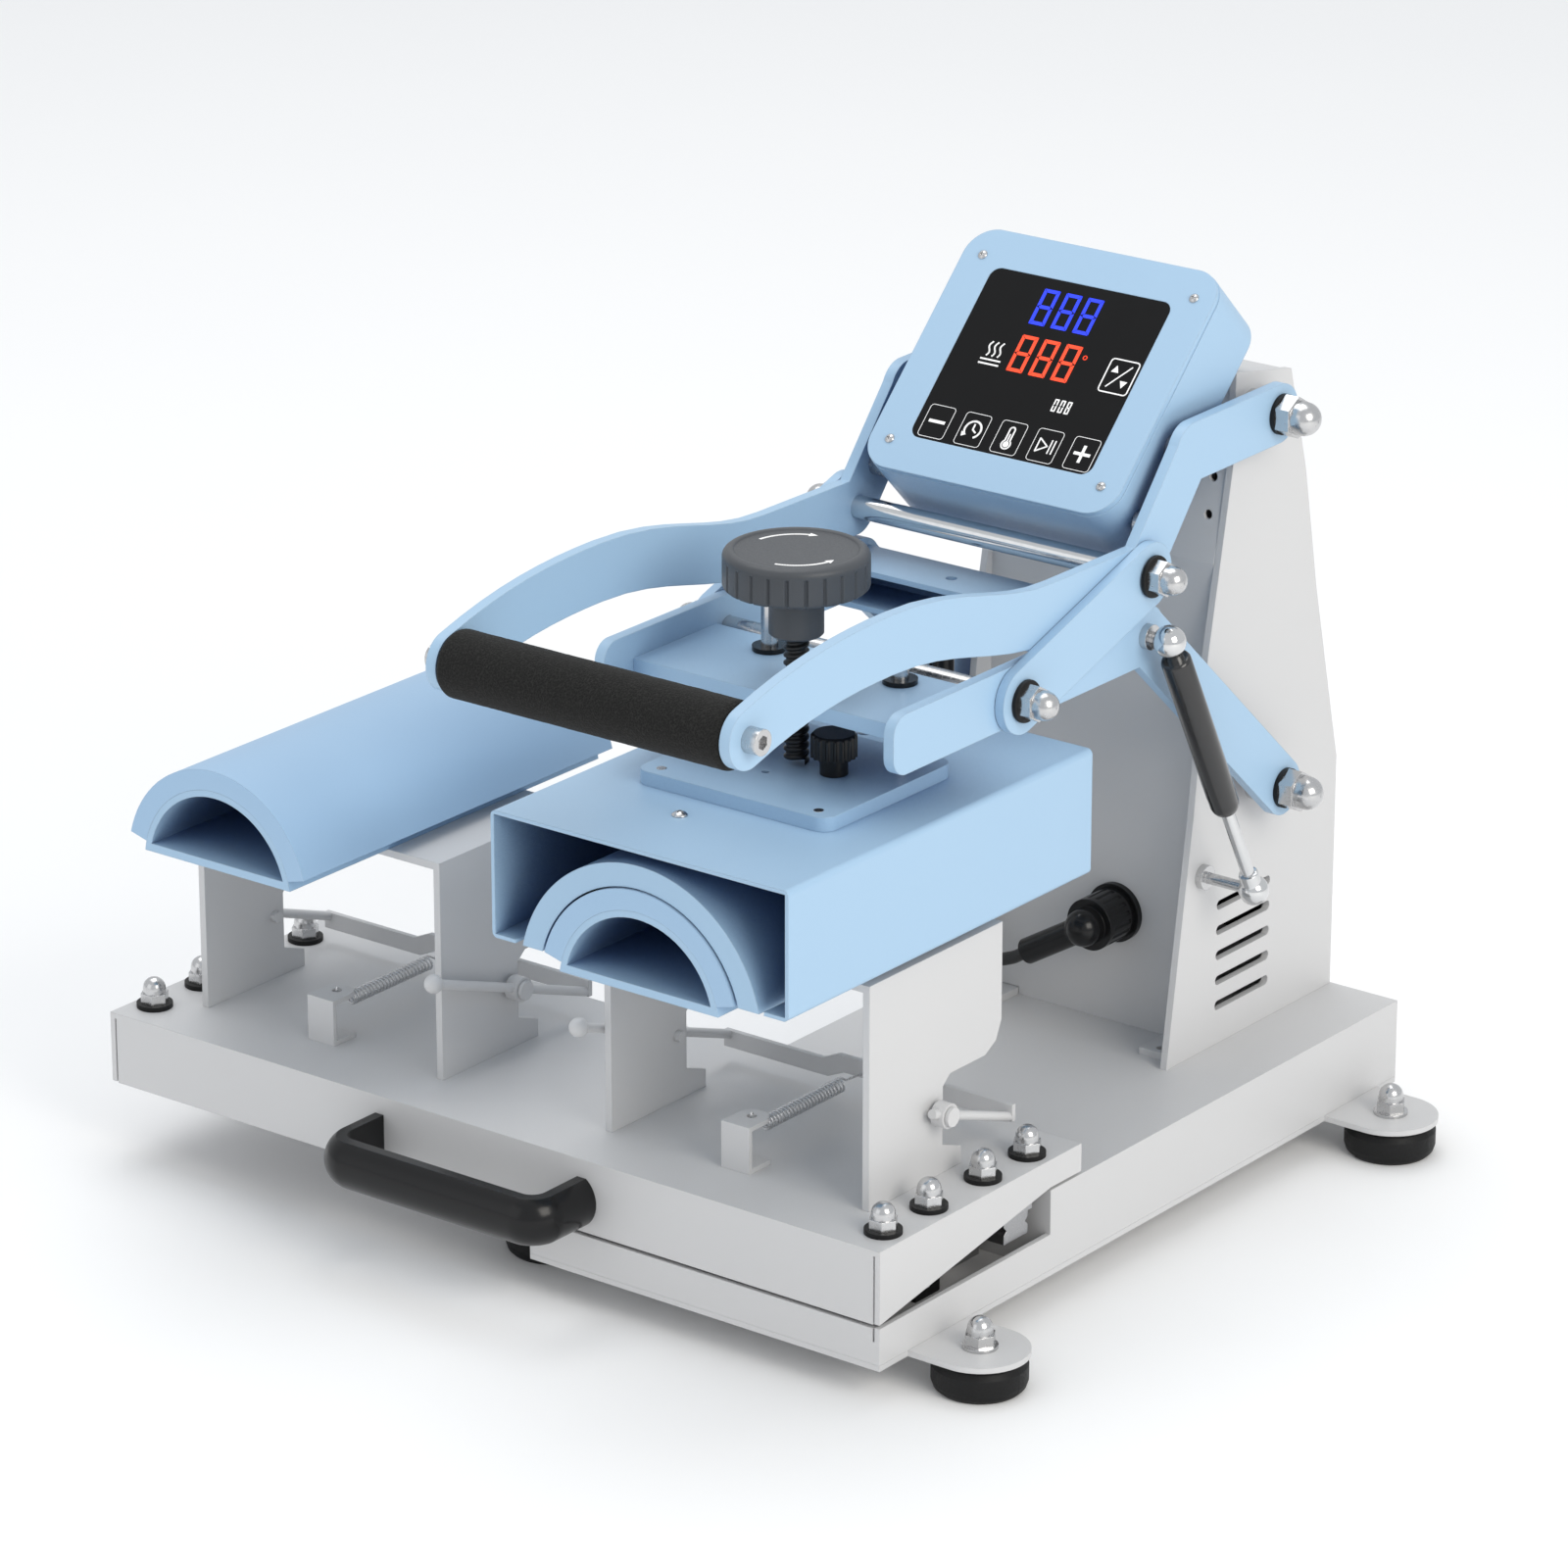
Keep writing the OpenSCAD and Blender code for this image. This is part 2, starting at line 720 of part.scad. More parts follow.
module platform_bolts() color(bright)
  for (p = platform_bolt_spots) translate([p[0], p[1], 0]) {
    head_z = platform_under - hanger_flange - bolt_head;
    translate([0, 0, head_z]) cylinder(h = bolt_head, d = 13 / cos(30), $fn = 6);
    translate([0, 0, head_z + bolt_head - 0.01])
      cylinder(h = platform_top + 9 - head_z - bolt_head, d = bolt_d);
    translate([0, 0, platform_top + platform_washer_t]) dome_nut(13, bolt_d - 0.2);
  }

module platform_washers() color(black)
  for (p = platform_bolt_spots) translate([p[0], p[1], platform_top]) difference() {
    cylinder(h = platform_washer_t, d = 19);
    translate([0, 0, -1]) cylinder(h = 5, d = bolt_d);
  }

// ---------- formers ----------

stand_x = stand_w / 2;
hold_pivot = [88, 116];
hold_pin_d = 6;
leg_line = [
  [35, platform_top], [110.6, platform_top], [110.6, 90.4], [95, 96], [95, 127], [101, 132],
  [130, 132], [139, 137], [143.5, 147], [143.5, seat_z], [35, seat_z]
];

module former_stand() {
  both_sides() {
    side_plate(stand_x - stand_t, stand_t) difference() {
      polygon(leg_line);
      translate(hold_pivot) circle(d = hold_pin_d);
    }
  }
  translate([-stand_x, 35, seat_z - stand_t]) cube([stand_w, 108.5, stand_t]);
}

module former_stands() color(paint_white)
  for (c = stations) translate([c, 0, 0]) former_stand();

// Half tube closed below by a flat plate
module tube_outline() {
  difference() {
    intersection() {
      translate([0, former_z]) circle(former_r);
      translate([-former_r, seat_z]) square([2 * former_r, former_r]);
    }
    intersection() {
      translate([0, former_z]) circle(former_r - former_wall);
      translate([-former_r, seat_z + tube_floor]) square([2 * former_r, former_r]);
    }
  }
}

module former_tubes() color(paint_blue)
  for (c = stations) translate([c, 0, 0])
    along_y(former_front, former_back - former_front) tube_outline();

// Pad over the tube, its two ends cut along radii
module pad_outline() {
  translate([0, former_z]) difference() {
    circle(pad_r);
    circle(former_r);
    polygon([
      [0, 0], [2 * pad_r * cos(cut_angle), 2 * pad_r * sin(cut_angle)], [2 * pad_r, -2 * pad_r],
      [-2 * pad_r, -2 * pad_r], [-2 * pad_r * cos(cut_angle), 2 * pad_r * sin(cut_angle)]
    ]);
  }
}

module former_pads() color(paint_blue)
  for (c = stations) translate([c, 0, 0])
    along_y(former_front, former_back - former_front) pad_outline();

// ---------- hold-down frames ----------

hold_slope = -0.355;
function hold_z(y) = hold_pivot[1] + hold_slope * (y - hold_pivot[0]);
hold_x = stand_x + 6;
hold_rod_r = 2.5;
hold_rear = 142;
hold_bar_y = 141.5;

module hold_down_pins() color(bright)
  for (c = stations) translate([c, 0, 0]) both_sides() {
    bar_x(stand_x - stand_t - 3, stand_t + 3 + 10, hold_pivot, hold_pin_d / 2);
    bar_x(stand_x + 10, 2, hold_pivot, hold_pin_d / 2 + 2);
  }

// One frame: two side rods with pivot bosses, rear flat bar, and a ball lever on one side
module hold_down(inner) {
  for (s = [-1, 1]) {
    front = s == inner ? 22 : 78;
    difference() {
      union() {
        rod([s * hold_x, front, hold_z(front)], [s * hold_x, hold_rear, hold_z(hold_rear)], hold_rod_r);
        bar_x(s * hold_x - 3.7, 7.4, hold_pivot, 6.5);
      }
      bar_x(s * hold_x - 6, 12, hold_pivot, hold_pin_d / 2 + run_gap);
    }
  }
  translate([inner * hold_x, 22, hold_z(22)]) sphere(5);
  // rear bar: lower on the left, stepped up towards the right
  along_y(hold_bar_y, 3) polygon([
    [-hold_x - 2.5, 90], [-24, 90], [-14, 94.5], [hold_x + 2.5, 94.5],
    [hold_x + 2.5, 103.5], [-18, 103.5], [-28, 99], [-hold_x - 2.5, 99]
  ]);
}

module hold_down_left() color(paint_white) translate([stations[0], 0, 0]) hold_down(1);
module hold_down_right() color(paint_white) translate([stations[1], 0, 0]) hold_down(-1);

// Bent tab that the return spring hooks on to
anchor_y = 36;
anchor_z = 106;
module spring_anchors() color(paint_white)
  for (c = stations) translate([c, 0, 0]) {
    w = 17.5;
    translate([-w / 2, anchor_y - 1.2, platform_top]) cube([w, 2.5, anchor_z - platform_top]);
    translate([-w / 2, anchor_y, platform_top]) cube([w, 16, 2.5]);
    translate([0, 0, anchor_z - 2.5]) linear_extrude(2.5) difference() {
      union() {
        translate([-w / 2, anchor_y - 1.2]) square([w, 13]);
        translate([0, anchor_y + 11.8]) circle(w / 2);
      }
      translate([0, anchor_y + 12]) circle(2.6);
    }
  }

spring_z = 98.5;
spring_r = 4;
spring_start = 58;
spring_end = 120;
wire_r = 0.8;
module hold_down_springs() color(steel)
  for (c = stations) translate([c, 0, 0]) {
    difference() {
      bar_y(0, spring_start, spring_z, spring_end - spring_start, spring_r);
      bar_y(0, spring_start - 1, spring_z, spring_end - spring_start + 2, spring_r - 2 * wire_r);
    }
    // hooks at both ends, of slightly thinner wire
    top = spring_z + spring_r - wire_r;
    low = spring_z - spring_r + wire_r;
    hook_r = wire_r - 0.1;
    rod([0, anchor_y + 12, top - wire_r], [0, anchor_y + 12, anchor_z + 1.5], wire_r);
    rod([0, anchor_y + 12, top], [0, spring_start + 1, top], hook_r);
    rod([0, spring_end - 1, low], [0, hold_bar_y - 0.2, spring_z - 2.5], hook_r);
  }

// ---------- lever ----------

lever_front = [-70, 357];
lever_crest = [40, 372.5];
lever_low = [170, 353.5];
lever_elbow = [289, 405];
curve_steps = 8;
lever_points = concat(
  [for (i = [0:curve_steps - 1])
    curve(lever_front, [-30, 369.5], [5, 372.5], lever_crest, i / curve_steps)],
  [for (i = [0:curve_steps]) curve(lever_crest, [95, 372.5], [125, 353.5], lever_low, i / curve_steps)],
  [link_top]
);
mount_spots = [lever_elbow, [262, 373]];
mount_stud_d = 5;

module lever_outline() {
  difference() {
    union() {
      ribbon(lever_points, lever_w);
      translate(lever_front) circle(r = lever_w / 2 + end_swell);
      strap(link_top, lever_elbow, lever_w / 2);
      strap(lever_elbow, lever_pivot, lever_w / 2 + 0.5);
    }
    translate(lever_front) circle(d = stub_d);
    translate(link_top) circle(d = stub_d);
    translate(lever_pivot) circle(d = shaft_d + 2 * run_gap);
  }
}

module lever_arms() color(paint_blue)
  both_sides() side_plate(arm_in, arm_t) lever_outline();

grip_tube_d = 22;
module grip_tube() color(bright)
  difference() {
    bar_x(-arm_in, arm_span, grip_at, grip_tube_d / 2);
    both_sides() bar_x(arm_in - 25, 30, grip_at, stub_d / 2);
  }

module foam_grip() color(black)
  difference() {
    bar_x(-arm_in + 0.5, arm_span - 1, grip_at, grip_d / 2);
    bar_x(-arm_in - 1, arm_span + 2, grip_at, grip_tube_d / 2);
  }

// Chrome bar between the lever arms, reduced at its ends for the links
module crossbar_b() color(bright) {
  bar_x(-arm_in, arm_span, link_top, 6);
  bar_x(-link_out - 12, 2 * (link_out + 12), link_top, stub_d / 2);
}

// ---------- control box ----------

// Frame of the face: X across, Y up the slope, Z out of the face
module on_face() {
  translate([0, box_edge[0], box_edge[1]]) rotate([face_tilt, 0, 0]) children();
}

face_t = 3;
module box_outline(inset) {
  translate([-box_w / 2 + inset, inset])
    round_rect(box_w - 2 * inset, box_h - 2 * inset, box_corner - inset);
}

module box_shell() color(paint_blue)
  on_face() difference() {
    translate([0, 0, -box_t]) linear_extrude(box_t - face_t) box_outline(0);
    translate([0, 0, -box_t + box_wall]) linear_extrude(box_t) difference() {
      box_outline(box_wall);
      for (x = [-1, 1], s = [screw_low_s, screw_high_s])
        translate([x * box_screw_x, s]) circle(5);
    }
    for (x = [-1, 1], s = [screw_low_s, screw_high_s])
      translate([x * box_screw_x, s, -20]) cylinder(h = 30, d = box_screw_d);
    for (p = mount_spots) {
      d = p - box_edge;
      s = (d[0] + d[1]) / sqrt(2);
      n = (d[1] - d[0]) / sqrt(2);
      translate([-box_w, s, n]) rotate([0, 90, 0]) cylinder(h = 2 * box_w, d = mount_stud_d);
    }
    // cooling slots in the rear wall
    for (i = [0:6]) translate([-45 + 15 * i - 1.5, 50, -box_t - 1]) cube([3, 40, box_wall + 2]);
  }

module box_face() color(paint_blue)
  on_face() difference() {
    translate([0, 0, -face_t]) linear_extrude(face_t) box_outline(0.4);
    translate([-screen_w / 2, screen_low_s, -1.5]) linear_extrude(5) round_rect(screen_w, screen_h, 6);
    for (x = [-1, 1], s = [screw_low_s, screw_high_s])
      translate([x * box_screw_x, s, -10]) cylinder(h = 20, d = box_screw_d);
  }

module box_screen() color(black)
  on_face() translate([-screen_w / 2 + 0.1, screen_low_s + 0.1, -1.5])
    linear_extrude(1.3) round_rect(screen_w - 0.2, screen_h - 0.2, 5.9);

// Shouldered stud welded on the inside of a lever arm; its thin end goes into the box
module box_mount(p) {
  bar_x(box_w / 2, arm_in - box_w / 2, p, 7);
  bar_x(box_w / 2 - 6, 6.01, p, mount_stud_d / 2);
}

// Grip screws, the nuts and washers on crossbar B, and the control box's screws and studs
module lever_fasteners() color(bright) {
  both_sides() {
    translate([arm_out, grip_at[0], grip_at[1]]) rotate([0, 90, 0]) cap_screw(stub_d, arm_t + 20);
    washer_x(link_out + side_gap, link_top, stub_d);
    nut_x(link_out + side_gap + washer_t, link_top, nut_across, stub_d);
    for (p = mount_spots) box_mount(p);
  }
  on_face() for (x = [-1, 1], s = [screw_low_s, screw_high_s])
    translate([x * box_screw_x, s, 0]) pan_screw(box_screw_d, 12);
}

// ---------- toggle links ----------

module toggle_links() color(paint_blue)
  both_sides() side_plate(link_in, link_t) difference() {
    strap(link_top, link_low, 17);
    translate(link_top) circle(d = stub_d + 2 * run_gap);
    translate(link_low) circle(d = stub_d);
  }

module toggle_link_nuts() color(bright)
  both_sides() {
    washer_x(link_out, link_low, stub_d);
    nut_x(link_out + washer_t, link_low, nut_across, stub_d);
    bar_x(link_in, link_t + washer_t + 8, link_low, stub_d / 2);
  }

// ---------- head arms ----------

module head_arm_outline() {
  h = arm_bar_top - arm_bar_low;
  mid = (arm_bar_top + arm_bar_low) / 2;
  difference() {
    union() {
      translate([41, arm_bar_low]) round_rect(140, h, 10);
      translate([120, arm_bar_low]) square([gas_top[0] - 120, h]);
      translate([gas_top[0], mid]) circle(h / 2);
      strap([gas_top[0], mid], head_pivot, 14.8);
    }
    translate(link_low) circle(r = 5.5);
    translate(head_pivot) circle(d = shaft_d + 2 * run_gap);
  }
}

module head_arms() color(paint_blue)
  both_sides() side_plate(arm_in, arm_t) head_arm_outline();

gas_ball_r = 5;
gland_at = [-56, 236];

module bridge_plate() color(paint_blue)
  difference() {
    translate([-arm_in, bridge_front, bridge_under])
      cube([arm_span, bridge_back - bridge_front, bridge_top - bridge_under]);
    translate([0, screw_y, bridge_under - 1]) cylinder(h = 20, d = screw_d + 2 * run_gap);
    for (s = [-1, 1]) translate([s * pin_x, pin_y, bridge_under - 1]) cylinder(h = 20, d = pin_d + 5);
  }

module guide_bushes() color(black)
  for (s = [-1, 1]) translate([s * pin_x, pin_y, 0]) difference() {
    union() {
      translate([0, 0, bridge_under]) cylinder(h = bridge_top - bridge_under + 0.01, d = pin_d + 5);
      translate([0, 0, bridge_top]) cylinder(h = 2.5, d = pin_d + 9);
    }
    translate([0, 0, bridge_under - 1]) cylinder(h = 20, d = pin_d + 2 * run_gap);
  }

// Channel between the head arms, open towards the front
module cross_brace() color(paint_blue)
  difference() {
    translate([-arm_in, 222, 308]) cube([arm_span, 34, 22]);
    translate([-arm_in - 1, 221, 311]) cube([arm_span + 2, 32, 16]);
    translate([-20, 238, 320]) cylinder(h = 20, d = 6);
  }

// Ball stud of the gas spring, seated on a plate whose outer face is at x
module ball_stud(x, p) {
  bar_x(x, 4, p, 6.5);
  bar_x(x, gas_x - x, p, 3);
  translate([gas_x, p[0], p[1]]) sphere(gas_ball_r);
}

// Chrome bar between the head arms, and the spring's upper ball stud on the right arm
module head_bar_and_stud() color(bright) {
  bar_x(-arm_out, 2 * arm_out, link_low, 5.5);
  ball_stud(arm_out, gas_top);
}

// Ring on the inside of the left head arm that holds the heater cord
clip_at = [-79, 312];
clip_z = 253;
module cord_clip() color(black)
  difference() {
    union() {
      translate([clip_at[0], clip_at[1], clip_z - 5]) cylinder(h = 10, r = 6);
      translate([-arm_in, clip_at[1] - 4, clip_z - 5]) cube([4, 8, 10]);
    }
    translate([clip_at[0], clip_at[1], clip_z - 6]) cylinder(h = 12, d = cord_d + 0.4);
  }

// Tube of eight sides swept along a list of points; side is a direction the route never takes
module cord(pts, side) {
  n = len(pts) - 1;
  rings = [for (i = [0:n])
    let (
      t = unit(pts[min(i + 1, n)] - pts[max(i - 1, 0)]),
      u = unit(cross(t, side)),
      v = cross(t, u)
    )
    for (a = [0:45:315]) pts[i] + (u * cos(a) + v * sin(a)) * cord_d / 2];
  polyhedron(rings, concat(
    [[7, 6, 5, 4, 3, 2, 1, 0]],
    [for (i = [0:n - 1], k = [0:7])
      [i * 8 + k, i * 8 + (k + 1) % 8, i * 8 + 8 + (k + 1) % 8, i * 8 + 8 + k]],
    [[for (k = [0:7]) n * 8 + k]]
  ), convexity = 6);
}

module heater_cord_lower() color(black) cord(lower_route, [0, 1, 0.15]);
module heater_cord_upper() color(black) cord(upper_route, [1, 0, 0]);

// ---------- heating head ----------

lip = shroud_w / 2 - 76;
module shroud_outline() {
  w = shroud_w;
  h = shroud_top - shroud_bottom;
  t = shroud_t;
  difference() {
    translate([-w / 2, shroud_bottom]) round_rect(w, h, 3);
    translate([-w / 2 + t, shroud_bottom + t]) square([w - 2 * t, h - 2 * t]);
    translate([-w / 2 + lip, shroud_bottom - 1]) square([w - 2 * lip, t + 2]);
  }
}

module head_shroud() color(paint_blue)
  difference() {
    union() {
      along_y(shroud_front, shroud_back - shroud_front) shroud_outline();
      translate([-shroud_w / 2 + shroud_t, shroud_back - shroud_t, shroud_bottom])
        cube([shroud_w - 2 * shroud_t, shroud_t, shroud_top - shroud_bottom - shroud_t]);
    }
    bar_y(gland_at[0], shroud_back - 10, gland_at[1], 20, 5);
    for (y = hanger_screw_ys) translate([hanger_screw_x, y, shroud_top - 5]) cylinder(h = 10, d = 5);
  }

hanger_screw_x = -13;
hanger_screw_ys = [9, 157];

heater_length = former_back - former_front - 2;
module heater() color(paint_blue)
  along_y(shroud_front + 1, heater_length) difference() {
    translate([0, heater_z]) circle(heater_out);
    translate([0, heater_z]) circle(heater_in);
    translate([-2 * heater_out, shroud_bottom - 0.5 - 4 * heater_out])
      square([4 * heater_out, 4 * heater_out]);
  }

module top_plate() color(paint_blue)
  difference() {
    union() {
      translate([0, 0, shroud_top]) linear_extrude(top_plate_t)
        translate([-plate_w / 2, plate_front]) round_rect(plate_w, plate_back - plate_front, 8);
    }
    for (s = [-1, 1]) translate([s * pin_x, pin_y, shroud_top - 1]) cylinder(h = 20, d = pin_d);
    translate([-5, 66, shroud_top + 2]) cylinder(h = 20, d = 4);
    translate([thumb_x, screw_y, plate_top - 6]) cylinder(h = 10, r = 3 + run_gap);
    for (x = [-1, 1], y = [plate_front + 8, plate_back - 7])
      translate([x * (plate_w / 2 - 11), y, plate_top - 3]) cylinder(h = 5, d = 5);
  }

// Guide pins, the heater's hanger screws and the top plate's corner screws
module head_pins_and_screws() color(bright) {
  for (s = [-1, 1]) translate([s * pin_x, pin_y, shroud_top]) {
    cylinder(h = pin_top - shroud_top - 1, d = pin_d);
    translate([0, 0, pin_top - shroud_top - 1.01]) cylinder(h = 1.01, d1 = pin_d, d2 = pin_d - 2);
  }
  for (y = hanger_screw_ys) {
    difference() {
      translate([hanger_screw_x, y, heater_z + heater_out - 6])
        cylinder(h = shroud_top - heater_z - heater_out + 6, d = 5);
      bar_y(0, y - 5, heater_z, 10, heater_out);
    }
    translate([hanger_screw_x, y, shroud_top]) pan_screw(4, 1);
  }
  for (x = [-1, 1], y = [plate_front + 8, plate_back - 7])
    translate([x * (plate_w / 2 - 11), y, plate_top - 3]) cylinder(h = 3.2, d = 5);
}

// Gland where the heater cord enters the back of the shroud
module cord_gland() color(black)
  difference() {
    union() {
      bar_y(gland_at[0], shroud_back - 3.5, gland_at[1], 3.51, 5);
      bar_y(gland_at[0], shroud_back, gland_at[1], 4, 9);
      bar_y(gland_at[0], shroud_back + 4, gland_at[1], 8, 6.5);
    }
    bar_y(gland_at[0], shroud_back - 8, gland_at[1], 30, cord_d / 2 + 0.15);
  }

// Knurled thumb screw that locks the plate
thumb_x = 23;
thumb_d = 23;
module thumb_knob() color(black)
  translate([thumb_x, screw_y, plate_top + side_gap]) {
    translate([0, 0, -5]) cylinder(h = 5.01, r = 3);
    cylinder(h = 9, r = 7);
    translate([0, 0, 9]) difference() {
      rotate_extrude() polygon([
        [0, 0], [thumb_d / 2, 0], [thumb_d / 2, 10.5], [thumb_d / 2 - 1.5, 12], [0, 12]
      ]);
      for (i = [0:17]) rotate(20 * i) translate([thumb_d / 2 + 0.8, 0, -1]) cylinder(h = 12, r = 1.8);
    }
  }

// Screw with ring grooves for its thread, and the fluted knob on top
module pressure_screw() color(black)
  translate([0, screw_y, 0]) {
    z0 = plate_top + 0.3;
    turns = floor((hub_bottom - z0 - 6) / screw_pitch);
    r = screw_d / 2;
    rotate_extrude() polygon(concat(
      [[0, z0], [r - 1, z0]],
      [for (i = [0:turns - 1], p = [[0.2, 1], [0.45, 0], [0.55, 0], [0.8, 1]])
        [r - p[1] * 1.1, z0 + 1 + (i + p[0]) * screw_pitch]],
      [[r, z0 + 1 + turns * screw_pitch], [r, hub_bottom + 0.01], [0, hub_bottom + 0.01]]
    ));
    translate([0, 0, hub_bottom]) cylinder(h = knob_top - knob_h - hub_bottom + 0.01, d = hub_d);
    rim = knob_top - knob_h;
    difference() {
      rotate_extrude() polygon([
        [0, rim], [knob_d / 2 - 1.5, rim], [knob_d / 2, rim + 1.5], [knob_d / 2, knob_top - 5],
        [knob_d / 2 - 5, knob_top], [0, knob_top]
      ]);
      for (i = [0:23]) rotate(15 * i) translate([knob_d / 2 + 1.6, 0, rim - 1])
        cylinder(h = knob_h - 3, r = 3.2);
    }
  }

// ---------- gas spring ----------

gas_line = gas_low - gas_top;
gas_len = norm(gas_line);
gas_angle = atan2(-gas_line[0], gas_line[1]);
tube_start = 12;
tube_len = 106;

// Frame along the spring: Z runs from the upper ball to the lower one
module on_gas() {
  translate([gas_x, gas_top[0], gas_top[1]]) rotate([gas_angle, 0, 0]) children();
}

module ball_eye(cavity) {
  difference() {
    translate([-6, 0, 0]) rotate([0, 90, 0]) cylinder(h = 12, r = 8.5);
    sphere(cavity);
    translate([-10, 0, 0]) rotate([0, 90, 0]) cylinder(h = 10, r = cavity - 0.6);
  }
}

module gas_cylinder() color(black)
  on_gas() {
    ball_eye(gas_ball_r + run_gap);
    translate([0, 0, 8]) cylinder(h = tube_start - 8 + 0.01, r = 5);
    translate([0, 0, tube_start]) difference() {
      cylinder(h = tube_len, r = 7.8);
      translate([0, 0, 10]) cylinder(h = tube_len, r = 3.5 + run_gap);
    }
  }

module gas_rod() color(bright)
  on_gas() {
    translate([0, 0, tube_start + 40]) cylinder(h = gas_len - tube_start - 40 - 8, r = 3.5);
    translate([0, 0, gas_len]) ball_eye(gas_ball_r + 1.4);
  }

base_chassis();
base_floor();
rubber_feet();
foot_hardware();
bearing_blocks();
end_stops();
column_side_left();
column_side_right();
column_front_panel();
column_back_cover();
column_top_cap();
pivot_shafts();
pivot_spacers();
pivot_washers();
pivot_nuts();
power_entry();
power_rocker();
cable_socket();
cable_plug();
heater_cord_lower();
platform();
pull_handle();
rails();
rail_hangers();
platform_bolts();
platform_washers();
former_stands();
former_tubes();
former_pads();
spring_anchors();
hold_down_pins();
hold_down_left();
hold_down_right();
hold_down_springs();
lever_arms();
grip_tube();
foam_grip();
lever_fasteners();
crossbar_b();
box_shell();
box_face();
box_screen();
toggle_links();
toggle_link_nuts();
head_arms();
bridge_plate();
cross_brace();
head_bar_and_stud();
guide_bushes();
cord_clip();
heater_cord_upper();
head_shroud();
heater();
top_plate();
head_pins_and_screws();
cord_gland();
thumb_knob();
pressure_screw();
gas_cylinder();
gas_rod();
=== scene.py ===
# %% [markdown]
# # A two-station heat press for curved blanks
#
# The press has a white sheet metal base, a sliding platform with two half-round formers, and a pale blue
# toggle lever that lowers a heating head on the former that stands under it. The hard parts come ready as
# a fixed frame, so this lesson gives them their finishes, and then models what a frame can't hold well:
# the foam grip, the springs, the heater cord, the fluted knob with its screw, and the lit display.

import json
import math

import bmesh
import bpy
from mathutils import Matrix, Vector, noise


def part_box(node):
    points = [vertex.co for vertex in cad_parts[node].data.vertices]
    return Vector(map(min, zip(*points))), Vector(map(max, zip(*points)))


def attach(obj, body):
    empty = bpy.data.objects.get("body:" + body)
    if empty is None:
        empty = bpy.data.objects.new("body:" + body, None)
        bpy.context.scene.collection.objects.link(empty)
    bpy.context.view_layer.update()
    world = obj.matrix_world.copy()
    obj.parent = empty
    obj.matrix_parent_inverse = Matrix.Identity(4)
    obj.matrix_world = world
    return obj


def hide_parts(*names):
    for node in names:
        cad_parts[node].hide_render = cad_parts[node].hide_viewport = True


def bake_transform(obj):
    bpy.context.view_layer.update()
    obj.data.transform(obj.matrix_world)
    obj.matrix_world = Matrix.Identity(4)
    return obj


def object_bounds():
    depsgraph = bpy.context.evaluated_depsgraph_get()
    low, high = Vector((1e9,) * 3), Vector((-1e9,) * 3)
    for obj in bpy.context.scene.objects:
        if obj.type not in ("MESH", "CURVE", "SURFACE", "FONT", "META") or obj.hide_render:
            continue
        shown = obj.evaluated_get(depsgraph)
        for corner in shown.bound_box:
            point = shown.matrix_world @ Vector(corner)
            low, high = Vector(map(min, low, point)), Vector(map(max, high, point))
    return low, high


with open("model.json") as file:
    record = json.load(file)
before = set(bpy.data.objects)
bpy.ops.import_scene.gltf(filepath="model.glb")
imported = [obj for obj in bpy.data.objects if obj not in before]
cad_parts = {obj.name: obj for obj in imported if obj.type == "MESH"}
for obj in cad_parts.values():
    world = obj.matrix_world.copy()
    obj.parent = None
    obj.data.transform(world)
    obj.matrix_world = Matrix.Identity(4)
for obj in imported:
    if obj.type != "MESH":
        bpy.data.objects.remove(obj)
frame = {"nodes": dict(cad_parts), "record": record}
cad_low, cad_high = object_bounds()
print("frame box, metres:", [round(v, 4) for v in (*cad_low, *cad_high)])

MM = 0.001


def mm(x, y, z):
    """A point in metres from millimetres."""
    return Vector((x * MM, y * MM, z * MM))


# %% [markdown]
# ## Camera
# A long lens well away from the press keeps its edges nearly parallel, as in a catalogue view. The camera
# stands to the front right and looks down by about twenty degrees, so the inside of the heating head, the
# display and the right side of the frame all show.

# %% Camera
AZIMUTH = math.radians(37.58)
ELEVATION = math.radians(20.31)
CAMERA_PLACE = Vector((1.914, -2.410, 1.433))

look = Vector((
    -math.sin(AZIMUTH) * math.cos(ELEVATION),
    math.cos(AZIMUTH) * math.cos(ELEVATION),
    -math.sin(ELEVATION),
))
camera_data = bpy.data.cameras.new("camera")
camera_data.sensor_width = 36
camera_data.lens = 157.9
camera_data.shift_x = -0.0024
camera_data.clip_end = 50
camera = bpy.data.objects.new("camera", camera_data)
camera.location = CAMERA_PLACE
camera.rotation_mode = "QUATERNION"
camera.rotation_quaternion = look.to_track_quat("-Z", "Y")
bpy.context.scene.collection.objects.link(camera)
bpy.context.scene.camera = camera
print("camera looks along", [round(v, 3) for v in look])

# %% [markdown]
# ## Node helpers
# Every finish below is built from shader nodes. Two small helpers keep that readable: one adds a node with
# its settings, and one makes a shared group with named inputs and outputs.

# %% Node helpers


def add_node(tree, kind, inputs=None, **settings):
    """Adds a node, sets its properties, and fills its input sockets with values or links."""
    made = tree.nodes.new(kind)
    for key, value in settings.items():
        setattr(made, key, value)
    for key, value in (inputs or {}).items():
        if isinstance(value, bpy.types.NodeSocket):
            tree.links.new(value, made.inputs[key])
        else:
            made.inputs[key].default_value = value
    return made


SOCKETS = {
    "float": "NodeSocketFloat",
    "color": "NodeSocketColor",
    "vector": "NodeSocketVector",
}


